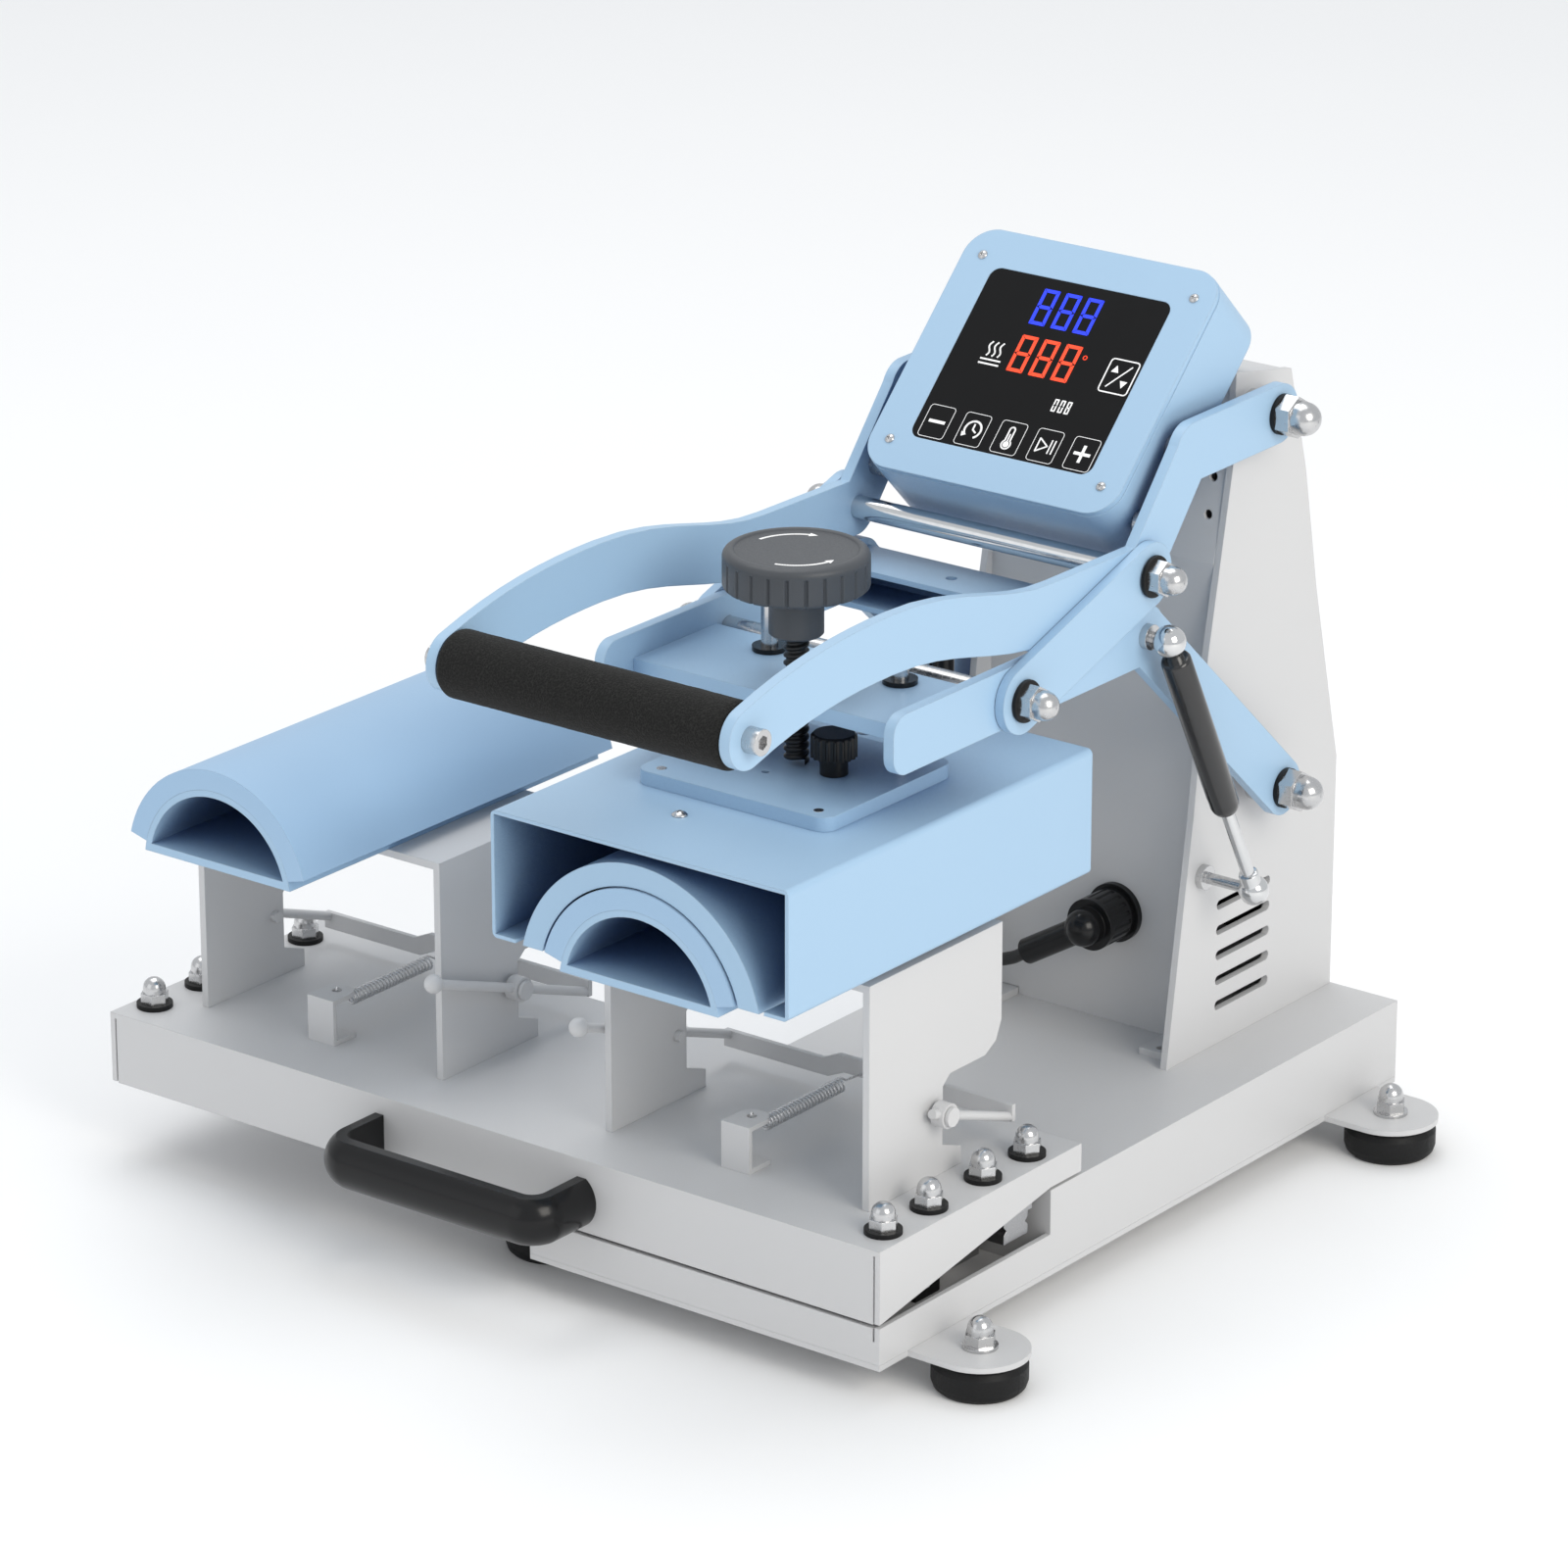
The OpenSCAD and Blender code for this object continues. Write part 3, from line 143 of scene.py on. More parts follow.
def new_group(name, inputs, outputs):
    """An empty shader group with named sockets: inputs are {name: (kind, default)}."""
    tree = bpy.data.node_groups.new(name, "ShaderNodeTree")
    for label, (kind, value) in inputs.items():
        socket = tree.interface.new_socket(label, in_out="INPUT", socket_type=SOCKETS[kind])
        if value is not None:
            socket.default_value = value
    for label, kind in outputs.items():
        tree.interface.new_socket(label, in_out="OUTPUT", socket_type=SOCKETS[kind])
    return tree, tree.nodes.new("NodeGroupInput"), tree.nodes.new("NodeGroupOutput")


def use_group(tree, group, inputs=None):
    """Places a shared group in a material."""
    return add_node(tree, "ShaderNodeGroup", inputs, node_tree=group)


# %% [markdown]
# ## Soft edges
# No bent or machined edge is a perfect corner: it has a radius that catches the light as a thin bright line. The Bevel
# node rounds the shading there without touching the mesh. Comparing the rounded normal with the flat one also gives a
# mask of the edges, where the finishes paint a lighter highlight into the colour.

# %% Group: soft edges
soft_edges, group_in, group_out = new_group(
    "soft_edges", {"Radius": ("float", 0.0006)}, {"Normal": "vector", "Edge": "float"}
)
rounded = add_node(soft_edges, "ShaderNodeBevel", {"Radius": group_in.outputs["Radius"]}, samples=4)
surface = add_node(soft_edges, "ShaderNodeNewGeometry")
agreement = add_node(
    soft_edges,
    "ShaderNodeVectorMath",
    {0: rounded.outputs["Normal"], 1: surface.outputs["Normal"]},
    operation="DOT_PRODUCT",
)
edge_mask = add_node(
    soft_edges,
    "ShaderNodeMapRange",
    {"Value": agreement.outputs["Value"], "From Min": 0.995, "From Max": 0.8, "To Min": 0.0, "To Max": 1.0},
)
soft_edges.links.new(rounded.outputs["Normal"], group_out.inputs["Normal"])
soft_edges.links.new(edge_mask.outputs["Result"], group_out.inputs["Edge"])
print("group made:", soft_edges.name)

# %% [markdown]
# ## Grain
# Powder coat, moulded plastic and cast rubber all have a fine skin. On the real surfaces the bumps are
# half a millimetre to a millimetre across and a few hundredths deep. One group serves them all: it takes
# the size and depth of the bumps, and gives back a normal and the height, which roughness can follow.

# %% Group: grain
grain, group_in, group_out = new_group(
    "grain",
    {
        "Vector": ("vector", None),
        "Bumps per metre": ("float", 1200.0),
        "Depth": ("float", 0.1),
        "Normal": ("vector", None),
    },
    {"Normal": "vector", "Height": "float"},
)
bumps = add_node(
    grain,
    "ShaderNodeTexNoise",
    {"Vector": group_in.outputs["Vector"], "Scale": group_in.outputs["Bumps per metre"], "Detail": 3.0,
     "Roughness": 0.55},
)
relief = add_node(
    grain,
    "ShaderNodeBump",
    {"Strength": group_in.outputs["Depth"], "Distance": 0.0003, "Height": bumps.outputs["Fac"],
     "Normal": group_in.outputs["Normal"]},
)
grain.links.new(relief.outputs["Normal"], group_out.inputs["Normal"])
grain.links.new(bumps.outputs["Fac"], group_out.inputs["Height"])
print("group made:", grain.name)

# %% [markdown]
# ## Uneven tone
# A sprayed or moulded surface is never one exact colour. Broad soft clouds, a hand's width across, shift
# it by a few hundredths, and dust settles on what faces up. Both are very slight, and they are what keeps
# a plain panel from looking like a flat fill.

# %% Group: uneven tone
uneven_tone, group_in, group_out = new_group(
    "uneven_tone",
    {
        "Vector": ("vector", None),
        "Color": ("color", (0.8, 0.8, 0.8, 1.0)),
        "Shade": ("color", (0.7, 0.7, 0.7, 1.0)),
        "Clouds per metre": ("float", 9.0),
        "Amount": ("float", 0.3),
        "Dust": ("float", 0.04),
    },
    {"Color": "color", "Mask": "float"},
)
clouds = add_node(
    uneven_tone,
    "ShaderNodeTexNoise",
    {"Vector": group_in.outputs["Vector"], "Scale": group_in.outputs["Clouds per metre"], "Detail": 4.0,
     "Roughness": 0.5},
)
cloud_amount = add_node(
    uneven_tone, "ShaderNodeMath", {0: clouds.outputs["Fac"], 1: group_in.outputs["Amount"]}, operation="MULTIPLY"
)
clouded = add_node(
    uneven_tone,
    "ShaderNodeMix",
    {"Factor": cloud_amount.outputs[0], 6: group_in.outputs["Color"], 7: group_in.outputs["Shade"]},
    data_type="RGBA",
)
facing = add_node(uneven_tone, "ShaderNodeNewGeometry")
facing_parts = add_node(uneven_tone, "ShaderNodeSeparateXYZ", {0: facing.outputs["Normal"]})
faces_up = add_node(
    uneven_tone,
    "ShaderNodeMapRange",
    {"Value": facing_parts.outputs["Z"], "From Min": 0.6, "From Max": 1.0, "To Min": 0.0, "To Max": 1.0},
)
specks = add_node(
    uneven_tone,
    "ShaderNodeTexNoise",
    {"Vector": group_in.outputs["Vector"], "Scale": 60.0, "Detail": 5.0, "Roughness": 0.7},
)
settled = add_node(
    uneven_tone, "ShaderNodeMath", {0: faces_up.outputs["Result"], 1: specks.outputs["Fac"]}, operation="MULTIPLY"
)
dust_amount = add_node(
    uneven_tone, "ShaderNodeMath", {0: settled.outputs[0], 1: group_in.outputs["Dust"]}, operation="MULTIPLY"
)
dusted = add_node(
    uneven_tone,
    "ShaderNodeMix",
    {"Factor": dust_amount.outputs[0], 6: clouded.outputs[2], 7: (0.72, 0.70, 0.66, 1.0)},
    data_type="RGBA",
)
uneven_tone.links.new(dusted.outputs[2], group_out.inputs["Color"])
uneven_tone.links.new(clouds.outputs["Fac"], group_out.inputs["Mask"])
print("group made:", uneven_tone.name)

# %% [markdown]
# ## One skeleton for the painted and moulded finishes
# Each material owns its Principled shader. The skeleton joins the three groups to it: tone feeds the base
# colour, grain height nudges the roughness, and the grain's normal sits on top of the softened edges. The
# values that are the same all over, such as coat and metallic, go straight on the shader.

# %% Material skeleton
MATERIALS = {}


def new_material(name):
    """An empty material with a Principled shader on its output."""
    material = bpy.data.materials.new(name)
    material.use_nodes = True
    tree = material.node_tree
    tree.nodes.clear()
    output = tree.nodes.new("ShaderNodeOutputMaterial")
    shader = tree.nodes.new("ShaderNodeBsdfPrincipled")
    tree.links.new(shader.outputs["BSDF"], output.inputs["Surface"])
    MATERIALS[name] = material
    return tree, shader


def set_shader(shader, values):
    for key, value in values.items():
        shader.inputs[key].default_value = value


def skin(name, colour, shade, edge_highlight_colour, rough, bumps_per_metre, depth, edge=0.0006, amount=0.35,
         dust=0.03, edge_highlight_amount=0.5, painted_recess_shade=None, **constants):
    """A painted, plated or moulded finish: uneven tone, fine grain, soft edges with a painted highlight, and painted
    shade in its pockets when a shade colour is given.
    """
    tree, shader = new_material(name)
    place = add_node(tree, "ShaderNodeTexCoord").outputs["Object"]
    edges = use_group(tree, soft_edges, {"Radius": edge})
    tone = use_group(
        tree, uneven_tone, {"Vector": place, "Color": (*colour, 1), "Shade": (*shade, 1), "Amount": amount, "Dust": dust}
    )
    skin_grain = use_group(
        tree,
        grain,
        {"Vector": place, "Bumps per metre": bumps_per_metre, "Depth": depth, "Normal": edges.outputs["Normal"]},
    )
    # Painted highlight: the edge mask mixes the lighter edge colour into the base colour.
    edge_highlight_mask = add_node(tree, "ShaderNodeMath", {0: edges.outputs["Edge"], 1: edge_highlight_amount}, operation="MULTIPLY")
    edge_highlighted = add_node(
        tree,
        "ShaderNodeMix",
        {"Factor": edge_highlight_mask.outputs[0], 6: tone.outputs["Color"], 7: (*edge_highlight_colour, 1)},
        data_type="RGBA",
    )
    colour_out = edge_highlighted.outputs[2]
    # Painted shade: where ambient occlusion finds a pocket, the colour is mixed towards the dark shade colour.
    if painted_recess_shade:
        openness = add_node(tree, "ShaderNodeAmbientOcclusion", {"Distance": 0.12}, samples=6)
        painted_shade_mask = add_node(
            tree,
            "ShaderNodeMapRange",
            {"Value": openness.outputs["AO"], "From Min": 0.08, "From Max": 0.42, "To Min": 0.0, "To Max": 1.0},
        )
        recess_shaded = add_node(
            tree,
            "ShaderNodeMix",
            {"Factor": painted_shade_mask.outputs["Result"], 6: (*painted_recess_shade, 1), 7: colour_out},
            data_type="RGBA",
        )
        colour_out = recess_shaded.outputs[2]
    roughness = add_node(
        tree,
        "ShaderNodeMapRange",
        {"Value": skin_grain.outputs["Height"], "From Min": 0.3, "From Max": 0.7, "To Min": rough[0],
         "To Max": rough[1]},
    )
    tree.links.new(colour_out, shader.inputs["Base Color"])
    tree.links.new(roughness.outputs["Result"], shader.inputs["Roughness"])
    tree.links.new(skin_grain.outputs["Normal"], shader.inputs["Normal"])
    set_shader(shader, {key.replace("_", " "): value for key, value in constants.items()})
    return tree, shader


# %% [markdown]
# ## Powder coat and silicone
# The frame is powder coated in two colours: a warm light grey for the base and a clear pale blue for all
# that moves down with the lever. Powder coat is a satin skin with a faint orange peel. The pads on the
# formers are the same blue, but silicone rubber, which is smoother and takes a softer light.

# %% Powder coat and silicone
skin("white_powder_coat", (0.60, 0.60, 0.605), (0.54, 0.54, 0.55), (0.74, 0.74, 0.75),
     (0.36, 0.5), 1300, 0.12, edge=0.0007, Coat_Weight=0.05, Coat_Roughness=0.3)
# The blue coat gets painted shade: a deep navy is mixed into its pockets, such as the inside of the heating head.
skin("blue_powder_coat", (0.36, 0.53, 0.705), (0.31, 0.48, 0.67), (0.50, 0.65, 0.79),
     (0.34, 0.47), 1300, 0.12, edge=0.0008, painted_recess_shade=(0.05, 0.10, 0.24), Coat_Weight=0.06, Coat_Roughness=0.25)
skin("blue_silicone", (0.35, 0.52, 0.71), (0.30, 0.47, 0.68), (0.46, 0.62, 0.78),
     (0.5, 0.62), 700, 0.05, edge=0.0005, Sheen_Weight=0.05, Sheen_Roughness=0.5)

# %% [markdown]
# ## Black rubber and plastics
# Feet and washers are moulded rubber, nearly black and dull, with a fine matte skin. The pull handle, the
# cable connector and the thumb screw are harder: a satin black plastic that shows a clear highlight. The
# pressure knob is a dark grey version of it with a coarser moulded texture.

# %% Rubber and plastics
skin("black_rubber", (0.006, 0.006, 0.0065), (0.011, 0.011, 0.011), (0.03, 0.03, 0.03),
     (0.45, 0.62), 900, 0.2, edge=0.0005, dust=0.04, Specular_IOR_Level=0.25)
skin("black_plastic", (0.006, 0.006, 0.0065), (0.011, 0.011, 0.012), (0.03, 0.03, 0.032),
     (0.16, 0.26), 1500, 0.07, edge=0.0007, dust=0.02, Specular_IOR_Level=0.3)
skin("grey_plastic", (0.066, 0.072, 0.081), (0.054, 0.059, 0.067), (0.14, 0.148, 0.16),
     (0.36, 0.52), 1700, 0.22, edge=0.0005, dust=0.02, Specular_IOR_Level=0.4)
skin("cord_jacket", (0.014, 0.014, 0.015), (0.022, 0.022, 0.022), (0.03, 0.03, 0.03),
     (0.38, 0.5), 1100, 0.15, edge=0.0004, dust=0.04)
skin("red_plastic", (0.50, 0.022, 0.016), (0.42, 0.018, 0.013), (0.62, 0.06, 0.05),
     (0.16, 0.26), 900, 0.05, edge=0.0006, Coat_Weight=0.3, Coat_Roughness=0.1)
skin("black_enamel", (0.008, 0.008, 0.009), (0.014, 0.014, 0.015), (0.03, 0.03, 0.03),
     (0.16, 0.24), 500, 0.05, edge=0.0006, dust=0.03, Coat_Weight=0.5, Coat_Roughness=0.08)

# %% [markdown]
# ## Bright metal
# The dome nuts, screws and crossbars are plated steel. Plating is a mirror over slightly uneven metal, so
# the roughness stays low and wanders a little, and a very shallow bump bends the reflections.

# %% Bright metal
skin("bright_steel", (0.60, 0.60, 0.605), (0.50, 0.50, 0.505), (0.72, 0.72, 0.72),
     (0.16, 0.30), 420, 0.06, edge=0.0005, amount=0.5, dust=0.02, Metallic=1.0)
skin("chrome", (0.70, 0.705, 0.71), (0.62, 0.625, 0.63), (0.78, 0.78, 0.78),
     (0.08, 0.18), 300, 0.04, edge=0.0004, amount=0.4, dust=0.02, Metallic=1.0)

# %% [markdown]
# ## Ground steel and spring wire
# The rails and their blocks are ground: the wheel leaves fine lines along the travel. Stretching a noise
# texture a hundred times along X gives those lines. Drawn spring wire is a duller version of the same.

# %% Ground steel


def ground_metal(name, colour, shade, rough, stretch, lines, depth):
    """Bare metal with fine lines: a noise squeezed across the grain and stretched along it."""
    tree, shader = new_material(name)
    place = add_node(tree, "ShaderNodeTexCoord").outputs["Object"]
    along = add_node(tree, "ShaderNodeMapping", {"Vector": place, "Scale": stretch})
    streaks = add_node(
        tree, "ShaderNodeTexNoise", {"Vector": along.outputs["Vector"], "Scale": lines, "Detail": 4.0, "Roughness": 0.6}
    )
    edges = use_group(tree, soft_edges, {"Radius": 0.0004})
    relief = add_node(
        tree,
        "ShaderNodeBump",
        {"Strength": depth, "Distance": 0.0002, "Height": streaks.outputs["Fac"], "Normal": edges.outputs["Normal"]},
    )
    tone = add_node(
        tree,
        "ShaderNodeMix",
        {"Factor": streaks.outputs["Fac"], 6: (*colour, 1), 7: (*shade, 1)},
        data_type="RGBA",
    )
    roughness = add_node(
        tree,
        "ShaderNodeMapRange",
        {"Value": streaks.outputs["Fac"], "From Min": 0.3, "From Max": 0.7, "To Min": rough[0], "To Max": rough[1]},
    )
    tree.links.new(tone.outputs[2], shader.inputs["Base Color"])
    tree.links.new(roughness.outputs["Result"], shader.inputs["Roughness"])
    tree.links.new(relief.outputs["Normal"], shader.inputs["Normal"])
    set_shader(shader, {"Metallic": 1.0})


ground_metal("machined_steel", (0.50, 0.50, 0.51), (0.36, 0.36, 0.37), (0.24, 0.42), (0.02, 1.0, 1.0), 1500, 0.25)
ground_metal("spring_steel", (0.74, 0.74, 0.75), (0.60, 0.60, 0.61), (0.22, 0.36), (1.0, 1.0, 1.0), 900, 0.12)

# %% [markdown]
# ## Screw thread steel
# The pressure screw is blackened steel with a film of grease, so it is dark, half metallic and a little
# shiny. The same streak idea would be too regular here, so it uses the plain skin.

# %% Blackened screw
skin("black_oxide", (0.016, 0.016, 0.017), (0.03, 0.03, 0.03), (0.12, 0.12, 0.12),
     (0.26, 0.40), 900, 0.12, edge=0.0003, dust=0.02, Metallic=0.55)

# %% [markdown]
# ## Foam
# The grip is a closed-cell foam sleeve. Its skin is a field of open pores about half a millimetre wide, so the bump
# comes from cells (Voronoi) mixed with noise, and the pores are painted a touch darker than the skin as painted shade
# in the hollows.

# %% Foam
tree, shader = new_material("foam")
place = add_node(tree, "ShaderNodeTexCoord").outputs["Object"]
cells = add_node(tree, "ShaderNodeTexVoronoi", {"Vector": place, "Scale": 1100.0, "Randomness": 1.0})
crumbs = add_node(tree, "ShaderNodeTexNoise", {"Vector": place, "Scale": 900.0, "Detail": 5.0, "Roughness": 0.65})
pores = add_node(
    tree, "ShaderNodeMath", {0: cells.outputs["Distance"], 1: crumbs.outputs["Fac"]}, operation="MULTIPLY"
)
pore_relief = add_node(
    tree, "ShaderNodeBump", {"Strength": 0.85, "Distance": 0.0005, "Height": pores.outputs[0]}
)
# Painted shade: the low points of the pore field take the darker colour.
pore_shade_mask = add_node(
    tree,
    "ShaderNodeMapRange",
    {"Value": pores.outputs[0], "From Min": 0.05, "From Max": 0.5, "To Min": 0.0, "To Max": 1.0},
)
foam_colour = add_node(
    tree,
    "ShaderNodeMix",
    {"Factor": pore_shade_mask.outputs["Result"], 6: (0.002, 0.002, 0.002, 1), 7: (0.020, 0.020, 0.019, 1)},
    data_type="RGBA",
)
foam_rough = add_node(
    tree,
    "ShaderNodeMapRange",
    {"Value": crumbs.outputs["Fac"], "From Min": 0.3, "From Max": 0.7, "To Min": 0.72, "To Max": 0.92},
)
tree.links.new(foam_colour.outputs[2], shader.inputs["Base Color"])
tree.links.new(foam_rough.outputs["Result"], shader.inputs["Roughness"])
tree.links.new(pore_relief.outputs["Normal"], shader.inputs["Normal"])
set_shader(shader, {"Sheen Weight": 0.03, "Sheen Roughness": 0.6, "Specular IOR Level": 0.2})
print("materials so far:", len(MATERIALS))

# %% [markdown]
# ## The display
# The screen is a dark tinted window over light segments. The window is almost black and glossy, with the
# faintest smudges in its roughness. The segments glow: an emission colour on the same Principled shader,
# with a small noise so that the light isn't perfectly even across a digit.

# %% Screen and lights
skin("screen_glass", (0.009, 0.009, 0.0095), (0.012, 0.012, 0.0125), (0.02, 0.02, 0.022),
     (0.10, 0.18), 60, 0.01, edge=0.0003, dust=0.0, Specular_IOR_Level=0.12)


def glow(name, colour, dim_colour, strength):
    """A glowing colour: a lit display segment, and a painted glow on the white print."""
    tree, shader = new_material(name)
    place = add_node(tree, "ShaderNodeTexCoord").outputs["Object"]
    spread = add_node(tree, "ShaderNodeTexNoise", {"Vector": place, "Scale": 220.0, "Detail": 2.0})
    light = add_node(
        tree,
        "ShaderNodeMix",
        {"Factor": spread.outputs["Fac"], 6: (*colour, 1), 7: (*dim_colour, 1)},
        data_type="RGBA",
    )
    tree.links.new(light.outputs[2], shader.inputs["Emission Color"])
    tree.links.new(light.outputs[2], shader.inputs["Base Color"])
    set_shader(shader, {"Emission Strength": strength, "Roughness": 0.5})


glow("blue_light", (0.010, 0.040, 0.90), (0.008, 0.030, 0.75), 0.5)
glow("red_light", (0.95, 0.065, 0.012), (0.80, 0.05, 0.01), 0.45)
# The white print is no lamp: its emission is a painted glow that lifts the printed marks.
glow("white_print", (0.86, 0.86, 0.86), (0.74, 0.74, 0.74), 0.3)
print("materials:", sorted(MATERIALS))

# %% [markdown]
# ## Dress the frame
# The record says which finish each part of the frame takes. The pads are the only rubber in the blue
# group. Assigning by name from the record keeps this in one loop.

# %% Dress the frame
slot_of = {part["node"]: part["material_slot"] for part in frame["record"]["subparts"]}
for name, part in frame["nodes"].items():
    part.data.materials.clear()
    part.data.materials.append(MATERIALS[slot_of[name]])
print("dressed", len(slot_of), "frame parts")

# %% [markdown]
# ## Helpers for new pieces
# A new piece is one bmesh. When it is done its normals are recalculated, so that faces point outwards, it
# gets its material, and it rides on the body of the frame that carries it. Angles over thirty degrees
# stay sharp.

# %% Piece helpers


def finish_piece(name, bm, material, body=None, replaced=(), smooth=True, sharp=35):
    """Turns a bmesh into an object at the origin, with a material, riding on a body."""
    bmesh.ops.recalc_face_normals(bm, faces=bm.faces[:])
    for face in bm.faces:
        face.smooth = smooth
    for edge in bm.edges:
        if len(edge.link_faces) == 2 and edge.calc_face_angle(0) > math.radians(sharp):
            edge.smooth = False
    mesh = bpy.data.meshes.new(name)
    bm.to_mesh(mesh)
    bm.free()
    piece = bpy.data.objects.new(name, mesh)
    bpy.context.scene.collection.objects.link(piece)
    mesh.materials.append(MATERIALS[material])
    if body:
        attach(piece, body)
    if replaced:
        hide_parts(*replaced)
    print(f"{name}: {len(mesh.polygons)} faces")
    return piece


def lathe(bm, profile, segments, place=(0, 0)):
    """A turned shape: stacked circles of the radii and heights in profile, closed at both ends."""
    circle = bmesh.ops.create_circle(bm, cap_ends=False, radius=profile[0][0], segments=segments)["verts"]
    bmesh.ops.translate(bm, verts=circle, vec=(place[0], place[1], profile[0][1]))
    loop = list({edge for vert in circle for edge in vert.link_edges})
    first = loop
    rings = [circle]
    radius, height = profile[0]
    centre = Vector((place[0], place[1], 0))
    for next_radius, next_height in profile[1:]:
        made = bmesh.ops.extrude_edge_only(bm, edges=loop)["geom"]
        verts = [item for item in made if isinstance(item, bmesh.types.BMVert)]
        bmesh.ops.translate(bm, verts=verts, vec=(0, 0, next_height - height))
        bmesh.ops.scale(
            bm,
            verts=verts,
            vec=(next_radius / radius, next_radius / radius, 1.0),
            space=Matrix.Translation(-centre),
        )
        loop = [item for item in made if isinstance(item, bmesh.types.BMEdge)]
        rings.append(verts)
        radius, height = next_radius, next_height
    bmesh.ops.edgeloop_fill(bm, edges=first)
    bmesh.ops.edgeloop_fill(bm, edges=loop)
    return rings


def tube_along(name, points, radius, material, turns_smooth=True, sides=6):
    """A round tube along a smooth curve through points, as a mesh."""
    line = bpy.data.curves.new(name, "CURVE")
    line.dimensions = "3D"
    line.bevel_depth = radius
    line.bevel_resolution = sides // 2
    line.use_fill_caps = True
    line.resolution_u = 8
    spline = line.splines.new("BEZIER" if turns_smooth else "POLY")
    if turns_smooth:
        spline.bezier_points.add(len(points) - 1)
        for knot, point in zip(spline.bezier_points, points):
            knot.co = point
            knot.handle_left_type = "AUTO"
            knot.handle_right_type = "AUTO"
    else:
        spline.points.add(len(points) - 1)
        for knot, point in zip(spline.points, points):
            knot.co = (*point, 1.0)
    holder = bpy.data.objects.new(name, line)
    bpy.context.scene.collection.objects.link(holder)
    bpy.context.view_layer.update()
    mesh = bpy.data.meshes.new_from_object(holder.evaluated_get(bpy.context.evaluated_depsgraph_get()))
    bpy.data.objects.remove(holder)
    bpy.data.curves.remove(line)
    bm = bmesh.new()
    bm.from_mesh(mesh)
    bpy.data.meshes.remove(mesh)
    bmesh.ops.remove_doubles(bm, verts=bm.verts[:], dist=1e-6)
    return finish_piece(name, bm, material, sharp=50)


# %% [markdown]
# ## Heater cord
# A round black cord leaves the connector's elbow on the column, drops a little, climbs on the left side to a clip on
# the head arm, and goes over into the gland at the back of the heating head. It is made in two stretches.

# %% Heater cord
CORD_RADIUS = 3.5 * MM
LOWER_ROUTE = [
    (-22, 311, 105), (-33, 311, 98.4), (-46, 309, 96), (-59, 307, 101), (-69, 306, 116),
    (-75, 307, 140), (-78, 309, 175), (-79, 311, 215), (-79, 312, 240), (-79, 312, 253),
]
UPPER_ROUTE = [
    (-79, 312, 253), (-79, 312, 266), (-78, 306, 281), (-75, 292, 291), (-71, 274, 290),
    (-66, 256, 277), (-61, 241, 257), (-57, 229, 241), (-56, 219, 236), (-56, 212, 236),
]
lower_cord = tube_along("heater_cord_lower_run", [mm(*p) for p in LOWER_ROUTE], CORD_RADIUS, "cord_jacket")
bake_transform(lower_cord)
upper_cord = tube_along("heater_cord_upper_run", [mm(*p) for p in UPPER_ROUTE], CORD_RADIUS, "cord_jacket")
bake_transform(upper_cord)
for piece, node in ((lower_cord, "heater_cord_lower"), (upper_cord, "heater_cord_upper")):
    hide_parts(node)

# %% [markdown]
# ## Hold-down springs
# Each hold-down frame is pulled back by an extension spring that hooks into a bent tab at the front. A real coil has to
# be a real helix: a loop works out its points, and a round section follows them.

# %% Hold-down springs
COIL_START, COIL_END, COIL_HEIGHT = 58.0, 121.0, 98.5
COIL_RADIUS, WIRE_RADIUS, TURNS, STEPS_A_TURN = 3.4, 0.62, 25, 14
ANCHOR_HOLE = 48.0
ANCHOR_TOP = 106.0
BAR_Y = 141.4


def spring_points(station):
    """The wire's path: hook in the tab, coil, straight tail, hook on the bar."""
    top = COIL_HEIGHT + COIL_RADIUS
    points = [
        mm(station, ANCHOR_HOLE + 1.2, ANCHOR_TOP + 1.0),
        mm(station, ANCHOR_HOLE, ANCHOR_TOP + 1.6),
        mm(station, ANCHOR_HOLE - 0.8, ANCHOR_TOP - 0.5),
        mm(station, ANCHOR_HOLE + 0.2, ANCHOR_TOP - 3.2),
        mm(station, ANCHOR_HOLE + 3.0, top + 0.1),
    ]
    count = TURNS * STEPS_A_TURN
    for i in range(count + 1):
        turn = 2 * math.pi * i / STEPS_A_TURN
        along = COIL_START + (COIL_END - COIL_START) * i / count
        points.append(
            mm(station + COIL_RADIUS * math.sin(turn), along, COIL_HEIGHT + COIL_RADIUS * math.cos(turn))
        )
    points += [
        mm(station, COIL_END + 4, top - 2.5),
        mm(station, BAR_Y - 4, COIL_HEIGHT),
        mm(station, BAR_Y - 1, COIL_HEIGHT - 1),
    ]
    return points


spring_bodies = {"left": (-270, "hold_down_left"), "right": (0, "hold_down_right")}
for side, (station, body) in spring_bodies.items():
    spring = tube_along(f"hold_down_spring_{side}", spring_points(station), WIRE_RADIUS * MM, "spring_steel",
                        turns_smooth=False)
    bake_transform(spring)
    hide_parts("hold_down_springs")

# %% [markdown]
# ## Foam grip
# The sleeve is pushed over a steel tube between the lever arms. It is a long cylinder with softly rounded
# ends, and foam is never quite round, so each point moves in or out by up to a quarter millimetre. The
# rings come from extruding one circle along the lever's width.

# %% Foam grip
grip_low, grip_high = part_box("foam_grip")
grip_radius = (grip_high.z - grip_low.z) / 2
grip_centre = (grip_low + grip_high) / 2
grip_length = grip_high.x - grip_low.x
ROUND_END = 3.2 * MM
GRIP_RINGS = 90

